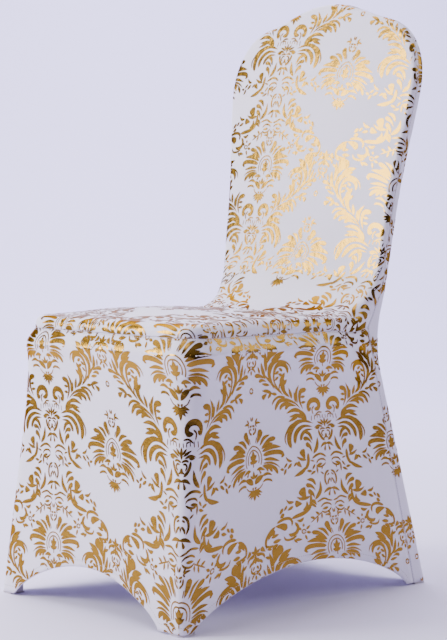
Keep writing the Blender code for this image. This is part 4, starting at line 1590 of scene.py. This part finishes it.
@dataclass
class FootPocket:
    """A soft sole with two inner walls, which closes the cover round one chair foot."""

    name: str
    corner: tuple[float, float]
    along: tuple[float, float]
    aside: tuple[float, float]
    radius: float
    lean: tuple[float, float]
    width: float = 0.027
    height: float = 0.035
    sole: float = 0.002
    turn: float = 0.006
    bulge: float = 0.0009
    droop: float = 0.0012
    droop_pace: float = 2.6
    sole_edge: tuple[tuple[float, float], ...] = (
        # inset, height
        (0.0022, 0.0), (0.0011, 0.0002), (0.0005, 0.0007), (0.0003, 0.0013),
    )
    start: float = CLOTH + 0.0016
    sharp_angle: float = math.radians(50)

    def spot(self, a: float, b: float, height: float) -> Array:
        """A point inside the corner.

        Args:
            a: Distance along the first face.
            b: Distance along the second face.
            height: Height over the floor.

        Returns:
            The point in floor coordinates.
        """
        ways = [np.array(way) / np.linalg.norm(way) for way in (self.along, self.aside)]
        plan = np.array(self.corner) + ways[0] * a + ways[1] * b + np.array(self.lean) * height
        return np.array([*plan, height])

    def outline(self, inset: float, height: float) -> list[Array]:
        """Draws the sole's outline.

        Args:
            inset: How far it lies inside the pocket's faces.
            height: Its height over the floor.

        Returns:
            Its corners.
        """
        radius = self.radius - inset
        middle = inset + radius
        arc = [(middle - radius * math.cos(t), middle - radius * math.sin(t))
               for t in np.linspace(0, math.pi / 2, 13)]
        wide = self.width - inset
        return [self.spot(a, b, height) for a, b in [(inset, wide), *arc, (wide, inset), (wide, wide)]]

    def wall_line(self, inset: float, height: float) -> list[Array]:
        """Draws one side of the inner walls, round their inner corner.

        Args:
            inset: How far it lies inside the walls' inner side.
            height: Its height over the floor.

        Returns:
            Its corners.
        """
        bulge = self.bulge * math.sin(math.pi * min(1.0, height / self.height))
        wide = self.width - inset - bulge
        turn = self.turn - inset / 2
        arc = [(wide - turn + turn * math.sin(t), wide - turn + turn * math.cos(t))
               for t in np.linspace(0, math.pi / 2, 9)]
        line = [(self.start, wide), *arc, (wide, self.start)]
        droop = self.droop * (height / self.height) ** 4
        return [self.spot(a, b, height - droop * math.sin(self.droop_pace * i))
                for i, (a, b) in enumerate(line)]

    @staticmethod
    def loft(rings: list[list[Array]]) -> tuple[list[Array], list[tuple]]:
        """Joins closed rings of the same count, and fills both ends.

        Args:
            rings: Corners of each ring.

        Returns:
            All corners, and the faces.
        """
        count = len(rings[0])
        faces = []
        for low in range(0, (len(rings) - 1) * count, count):
            for i in range(count):
                after = (i + 1) % count
                faces.append((low + i, low + after, low + count + after, low + count + i))
        last = (len(rings) - 1) * count
        faces += [tuple(range(count))[::-1], tuple(range(last, last + count))]
        return [p for ring in rings for p in ring], faces

    def build(self) -> bpy.types.Object:
        """Makes the pocket.

        Returns:
            The pocket's object.
        """
        steps = (*self.sole_edge, (self.sole_edge[-1][0], self.sole))
        points, faces = self.loft([self.outline(inset, height) for inset, height in steps])
        levels = np.linspace(self.sole / 2, self.height, 9)
        more, walls = self.loft([self.wall_line(0.0, h) + self.wall_line(CLOTH, h)[::-1] for h in levels])
        faces += [tuple(i + len(points) for i in face) for face in walls]
        points += more
        if self.along[0] * self.aside[1] - self.along[1] * self.aside[0] < 0:
            faces = [face[::-1] for face in faces]
        piece = bare_object(self.name, np.array(points), faces)
        piece.data.set_sharp_from_angle(angle=self.sharp_angle)
        return piece


def foot_pockets() -> dict[str, FootPocket]:
    """Places the four pockets in the cover's foot corners.

    Returns:
        The pockets by the names of their solids.
    """
    pockets = {}
    rear_lean = ((WAIST_LINE[0] - REAR_FOOT_LINE[0]) / SEAM_HEIGHT,
                 (REAR_WAIST[0] - REAR_FLOOR) / REAR_WAIST[1])
    for name, side in (("left", -1), ("right", 1)):
        x, y = FOOT_CORNERS[name]
        other = FOOT_CORNERS["right" if name == "left" else "left"]
        lean = (side * (SEAM_CORNER[0] - x) / SEAM_HEIGHT, (SEAM_CORNER[1] - y) / SEAM_HEIGHT)
        along = (-side * (x + other[0]), other[1] - y)
        aside = (side * (REAR_FOOT_LINE[0] - x), REAR_FOOT_LINE[1] - y)
        pockets[f"foot_pocket_front_{name}"] = FootPocket(
            f"pocket_front_{name}", (side * x, y), along, aside, FOOT_CORNER_RADIUS, lean)
        aside = (side * (x - REAR_FOOT_LINE[0]), y - REAR_FOOT_LINE[1])
        pockets[f"foot_pocket_rear_{name}"] = FootPocket(
            f"pocket_rear_{name}", (side * REAR_FOOT_LINE[0], REAR_FLOOR), (-side, 0), aside, REAR_ROUND,
            (side * rear_lean[0], rear_lean[1]))
    return pockets


def plain_material(name: str, colour: Colour,
                   roughness: float) -> tuple[bpy.types.Material, bpy.types.NodeInputs]:
    """A material of one colour.

    Args:
        name: Its name.
        colour: Its base colour.
        roughness: How matt it is.

    Returns:
        The material, and its shader's inputs.
    """
    made = bpy.data.materials.new(name)
    made.use_nodes = True
    inputs = made.node_tree.nodes["Principled BSDF"].inputs
    inputs["Base Color"].default_value = (*colour, 1.0)
    inputs["Roughness"].default_value = roughness
    return made, inputs


def fine_bump(made: bpy.types.Material, scale: float, strength: float, distance: float) -> None:
    """Gives a material a fine uneven surface.

    Args:
        made: The material.
        scale: How fine the unevenness is.
        strength: How much of it shows.
        distance: Its height in metres.
    """
    nodes, links = made.node_tree.nodes, made.node_tree.links
    where = nodes.new("ShaderNodeTexCoord")
    noise = nodes.new("ShaderNodeTexNoise")
    noise.inputs["Scale"].default_value = scale
    noise.inputs["Detail"].default_value = 2.0
    bump = nodes.new("ShaderNodeBump")
    bump.inputs["Strength"].default_value = strength
    bump.inputs["Distance"].default_value = distance
    links.new(where.outputs["Object"], noise.inputs["Vector"])
    links.new(noise.outputs["Fac"], bump.inputs["Height"])
    links.new(bump.outputs["Normal"], nodes["Principled BSDF"].inputs["Normal"])


@dataclass(frozen=True)
class ClothFinish:
    """Smooth white stretch knit with a soft sheen."""

    name: str
    colour: Colour
    roughness: float = 0.60
    sheen: float = 0.15
    specular: float = 0.35
    knit: tuple[float, float, float] = (900.0, 0.35, 0.0002)

    def material(self) -> bpy.types.Material:
        """Makes the knit's material.

        Returns:
            The material.
        """
        made, inputs = plain_material(self.name, self.colour, self.roughness)
        inputs["Sheen Weight"].default_value = self.sheen
        inputs["Specular IOR Level"].default_value = self.specular
        fine_bump(made, *self.knit)
        return made


@dataclass(frozen=True)
class FoilFinish:
    """Gold foil printed on the knit."""

    name: str
    colour: Colour
    edge: Colour = (0.62, 0.42, 0.22)
    roughness: float = 0.25
    ripple: tuple[float, float, float] = (110.0, 0.50, 0.0010)

    def material(self) -> bpy.types.Material:
        """Makes the foil's material.

        Returns:
            The material.
        """
        made, inputs = plain_material(self.name, self.colour, self.roughness)
        inputs["Metallic"].default_value = 1.0
        inputs["Specular Tint"].default_value = (*self.edge, 1.0)
        fine_bump(made, *self.ripple)
        return made


@dataclass(frozen=True)
class StudioLight:
    """One soft area light, aimed at a point of the cover."""

    name: str
    place: tuple[float, float, float]
    aim: tuple[float, float, float]
    size: float
    power: float
    colour: Colour = (1.0, 1.0, 1.0)

    def add(self) -> None:
        """Puts the light in the scene."""
        data = bpy.data.lights.new(self.name, "AREA")
        data.size = self.size
        data.energy = self.power
        data.color = self.colour
        lamp = bpy.data.objects.new(self.name, data)
        lamp.location = self.place
        way = np.array(self.aim) - np.array(self.place)
        lamp.rotation_euler = Vector(way).to_track_quat("-Z", "Y").to_euler()
        bpy.context.scene.collection.objects.link(lamp)


@dataclass
class Studio:
    """A pale paper sweep, the light from all round, lamps and the camera."""

    view: float = math.radians(47.27)
    half_width: float = 4.5
    near_end: float = -4.5
    bend_start: float = 3.0
    bend_radius: float = 2.0
    wall_top: float = 4.2
    paper: Colour = (0.80, 0.755, 0.95)
    paper_roughness: float = 0.9
    paper_specular: float = 0.1
    world_colour: Colour = (0.95, 0.86, 0.96)
    world_strength: float = 0.30
    dark_side: float = 0.10
    light_stop: float = 0.55
    dark_stop: float = 0.92
    dark_tilt: float = -0.25
    camera_place: tuple[float, float, float] = (2.0001, -2.0903, -0.3408)
    camera_fall: float = math.radians(3.386)
    camera_lens: float = 98.65

    def build(self) -> None:
        """Makes the stage."""
        self._sweep()
        self._world()
        for lamp in self._lamps():
            lamp.add()
        self._camera()

    def _sweep(self) -> None:
        """A level floor that curves up into a wall well behind the cover."""
        angle = np.linspace(0, math.pi / 2, 25)
        curve = [(self.bend_start + self.bend_radius * math.sin(a), self.bend_radius * (1 - math.cos(a)))
                 for a in angle]
        profile = [(self.near_end, 0.0), *curve, (curve[-1][0], self.wall_top)]
        ahead = (-math.sin(self.view), math.cos(self.view))
        right = (ahead[1], -ahead[0])
        corners = [(ahead[0] * s + right[0] * w, ahead[1] * s + right[1] * w, z - HELD_POINT[2])
                   for s, z in profile for w in (-self.half_width, self.half_width)]
        faces = [(i, i + 1, i + 3, i + 2) for i in range(0, len(corners) - 2, 2)]
        mesh = bpy.data.meshes.new("stage_floor")
        mesh.from_pydata(corners, [], faces)
        mesh.shade_smooth()
        floor = bpy.data.objects.new("stage_floor", mesh)
        bpy.context.scene.collection.objects.link(floor)
        made, inputs = plain_material("stage_pale", self.paper, self.paper_roughness)
        inputs["Specular IOR Level"].default_value = self.paper_specular
        mesh.materials.append(made)

    def _world(self) -> None:
        """Pale light from all round, dim on the side that the camera stands on."""
        world = bpy.data.worlds.new("studio_world")
        world.use_nodes = True
        nodes, links = world.node_tree.nodes, world.node_tree.links
        back = nodes["Background"]
        back.inputs["Strength"].default_value = self.world_strength
        where = nodes.new("ShaderNodeTexCoord")
        turn = nodes.new("ShaderNodeVectorMath")
        turn.operation = "DOT_PRODUCT"
        turn.inputs[1].default_value = (math.sin(self.view), -math.cos(self.view), self.dark_tilt)
        ramp = nodes.new("ShaderNodeValToRGB")
        light, dark = ramp.color_ramp.elements
        light.position, dark.position = self.light_stop, self.dark_stop
        light.color = (*self.world_colour, 1.0)
        dark.color = (*(c * self.dark_side for c in self.world_colour), 1.0)
        links.new(where.outputs["Generated"], turn.inputs[0])
        links.new(turn.outputs["Value"], ramp.inputs["Fac"])
        links.new(ramp.outputs["Color"], back.inputs["Color"])
        bpy.context.scene.world = world

    @staticmethod
    def _lamps() -> list[StudioLight]:
        """The soft lamps: overhead, for the wall, for the backrest's foil, and from the right and the rear.

        Returns:
            The lamps.
        """
        lilac, cream = (0.85, 0.83, 1.0), (0.92, 0.92, 0.88)
        return [
            StudioLight("lamp_over", (-2.0, -0.1, 2.7), (-2.0, -0.1, -0.9), 4.6, 375.0, lilac),
            StudioLight("lamp_wall", (-1.7, 1.6, 2.3), (-3.6, 3.3, 0.2), 2.4, 185.0, (0.60, 0.60, 1.0)),
            StudioLight("lamp_left", (-1.84, -2.81, 0.52), (0.0, -0.1, -0.35), 1.5, 165.0, cream),
            StudioLight("lamp_right", (2.6, 0.1, 1.0), (0.1, -0.4, -0.5), 0.7, 5.0),
            StudioLight("lamp_rear", (1.85, 1.85, 1.40), (0.2, 0.0, -0.50), 1.9, 34.0),
            StudioLight("lamp_side", (2.75, 2.90, 0.25), (0.2, -0.1, -0.40), 2.2, 10.0, (0.82, 0.80, 1.0)),
        ]

    def _camera(self) -> None:
        """The camera fitted to the photograph."""
        data = bpy.data.cameras.new("camera")
        data.lens = self.camera_lens
        data.sensor_width = 36.0
        camera = bpy.data.objects.new("camera", data)
        camera.location = self.camera_place
        camera.rotation_euler = (math.pi / 2 - self.camera_fall, 0.0, self.view)
        bpy.context.scene.collection.objects.link(camera)
        bpy.context.scene.camera = camera


# The pull of the stretched cloth: soft ridges, and troughs with a height below zero.
FRONT_FOLDS = (
    # start, end, height, width, bow; from the middle of the seat's front edge
    ((0.118, 0.272), (0.182, 0.330), 0.0020, 0.0052, 0.005),
    ((0.132, 0.300), (0.178, 0.346), -0.0015, 0.0048, 0.004),
    ((0.092, 0.292), (0.166, 0.366), 0.0014, 0.0060, 0.008),
    ((0.070, 0.312), (0.158, 0.392), -0.0010, 0.0060, 0.010),
    ((-0.112, 0.280), (-0.180, 0.334), 0.0017, 0.0055, -0.005),
    ((-0.128, 0.306), (-0.176, 0.352), -0.0013, 0.0048, -0.004),
    ((-0.086, 0.300), (-0.160, 0.374), 0.0011, 0.0062, -0.008),
    ((0.150, 0.030), (0.158, 0.262), 0.0010, 0.0050, 0.003),
    ((0.136, 0.070), (0.139, 0.290), -0.0009, 0.0048, 0.002),
    ((0.104, 0.120), (0.118, 0.300), 0.0008, 0.0060, -0.003),
    ((-0.146, 0.060), (-0.152, 0.250), 0.0008, 0.0055, -0.002),
    ((-0.094, 0.262), (-0.112, 0.398), 0.0012, 0.0085, 0.004),
    ((-0.030, 0.286), (-0.020, 0.400), 0.0009, 0.0090, 0.000),
    ((0.048, 0.280), (0.056, 0.404), 0.0010, 0.0090, -0.003),
    ((0.020, 0.150), (0.060, 0.262), 0.0007, 0.0070, 0.004),
    ((-0.080, 0.090), (-0.040, 0.220), 0.0006, 0.0075, -0.004),
)
SKIRT_FOLDS = (
    # start, end, height, width, bow; run from the front's middle and height
    ((0.205, 0.3935), (0.552, 0.3925), 0.0017, 0.0052, 0.000),
    ((0.215, 0.3740), (0.535, 0.3720), -0.0015, 0.0058, 0.000),
    ((-0.545, 0.3920), (-0.215, 0.3930), 0.0014, 0.0052, 0.000),
    ((-0.530, 0.3725), (-0.225, 0.3740), -0.0012, 0.0060, 0.000),
    ((-0.140, 0.3760), (0.130, 0.3780), -0.0007, 0.0065, 0.000),
    ((0.452, 0.3980), (0.588, 0.3300), 0.0018, 0.0052, 0.006),
    ((0.486, 0.4000), (0.592, 0.3520), -0.0014, 0.0046, 0.004),
    ((0.410, 0.3900), (0.575, 0.2900), 0.0011, 0.0064, 0.009),
    ((0.520, 0.4000), (0.596, 0.3740), 0.0014, 0.0046, 0.002),
    ((-0.470, 0.3980), (-0.588, 0.3340), 0.0016, 0.0052, -0.006),
    ((-0.500, 0.4000), (-0.592, 0.3560), -0.0012, 0.0048, -0.004),
    ((0.186, 0.3600), (0.204, 0.0500), 0.0010, 0.0110, 0.000),
    ((0.232, 0.3300), (0.238, 0.1100), -0.0012, 0.0140, 0.004),
    ((-0.200, 0.3500), (-0.214, 0.0600), 0.0009, 0.0110, 0.000),
    ((0.560, 0.3000), (0.607, 0.0500), 0.0013, 0.0090, 0.000),
)
BACK_FOLDS = (
    # start, end, height, width, bow; across and along the rear face
    ((-0.120, 0.330), (-0.060, 0.420), 0.0012, 0.0080, 0.004),
    ((0.128, 0.326), (0.058, 0.430), 0.0013, 0.0080, -0.004),
    ((0.020, 0.340), (0.004, 0.470), -0.0009, 0.0100, 0.000),
    ((-0.150, 0.060), (-0.136, 0.300), 0.0010, 0.0110, 0.003),
    ((0.150, 0.060), (0.138, 0.290), 0.0011, 0.0110, -0.003),
)

SKIRT_PRINT = PrintLayout(
    columns=(
        # run, lean, lower and upper palmette level
        (-0.700, 0.16, 0.088, 0.376),
        (-0.550, 0.16, 0.088, 0.376),
        (-0.400, 0.16, 0.088, 0.378),
        (-0.252, 0.16, 0.090, 0.384),
        (-0.108, 0.16, 0.091, 0.389),
        (0.034, 0.17, 0.098, 0.388),
        (0.181, 0.10, 0.027, 0.369),
        (0.315, 0.20, 0.087, 0.383),
        (0.476, 0.31, 0.085, 0.373),
        (0.632, 0.31, 0.088, 0.373),
        (0.790, 0.30, 0.088, 0.373),
    ),
    first=Kind.LACE,
    level=0.236,
    rows=range(-1, 4),
    sway=((0.08, -0.002), (0.18, 0.003), (0.26, 0.004), (0.32, 0.003), (0.38, -0.003)),
)
FRONT_PRINT = PrintLayout(
    columns=(
        (-0.245, -0.12, 0.3070, 0.6070),
        (-0.102, -0.12, 0.3000, 0.6000),
        (0.034, -0.20, 0.3130, 0.6030),
        (0.200, -0.14, 0.2750, 0.5600),
        (0.345, -0.14, 0.2600, 0.5500),
    ),
    first=Kind.DIAMOND,
    level=0.608,
    rows=range(-2, 4),
    sway=((0.00, 0.072), (0.20, 0.062), (0.28, 0.036), (0.34, -0.018), (0.40, -0.038), (0.46, 0.000),
          (0.50, 0.003), (0.60, 0.006), (0.74, 0.001)),
)
BACK_PRINT = PrintLayout(
    columns=(
        (-0.405, 0.03, 0.100, 0.390),
        (-0.260, 0.03, 0.100, 0.390),
        (-0.112, 0.03, 0.102, 0.392),
        (0.038, 0.02, 0.100, 0.390),
        (0.186, 0.02, 0.098, 0.388),
        (0.335, 0.02, 0.098, 0.388),
    ),
    first=Kind.DIAMOND,
    level=0.400,
    rows=range(-1, 5),
)


def main() -> None:
    """Builds the cover and its studio."""
    logging.basicConfig(level=logging.INFO, format="%(name)s: %(message)s")
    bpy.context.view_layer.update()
    damask = Damask()
    front = FrontPanel([Crease(*row) for row in FRONT_FOLDS])
    skirt = Skirt([Crease(*row) for row in SKIRT_FOLDS], front)
    back = BackPanel([Crease(*row) for row in BACK_FOLDS], front, skirt)
    white = ClothFinish("white_knit", (0.78, 0.74, 0.88)).material()
    gold = FoilFinish("gold_foil_print", (0.285, 0.160, 0.027)).material()
    # The stitches' grey-lilac is partly the thread's own colour and partly painted shade for the seam's
    # shadow.
    thread_and_shade = ClothFinish("seam_thread_and_painted_shade", (0.52, 0.48, 0.56)).material()
    builds = (
        SheetBuild("front", "front_panel", front, FRONT_PRINT, (0.42, 0.90)),
        SheetBuild("skirt", "skirt", skirt, SKIRT_PRINT, (1.36, 0.40)),
        SheetBuild("back", "back_panel", back, BACK_PRINT, (0.44, 0.93), flip=True),
    )
    for build in builds:
        build.dress(damask, white, gold, thread_and_shade)
    # The pockets' knit is darker than the white knit: painted shade for the shadow round the chair's feet.
    pocket_knit_painted_shade = ClothFinish("pocket_knit_painted_shade", (0.60, 0.55, 0.62)).material()
    for node, pocket in foot_pockets().items():
        piece = pocket.build()
        piece.data.materials.append(pocket_knit_painted_shade)
        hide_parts(node)
    Studio().build()


if __name__ == "__main__":
    main()
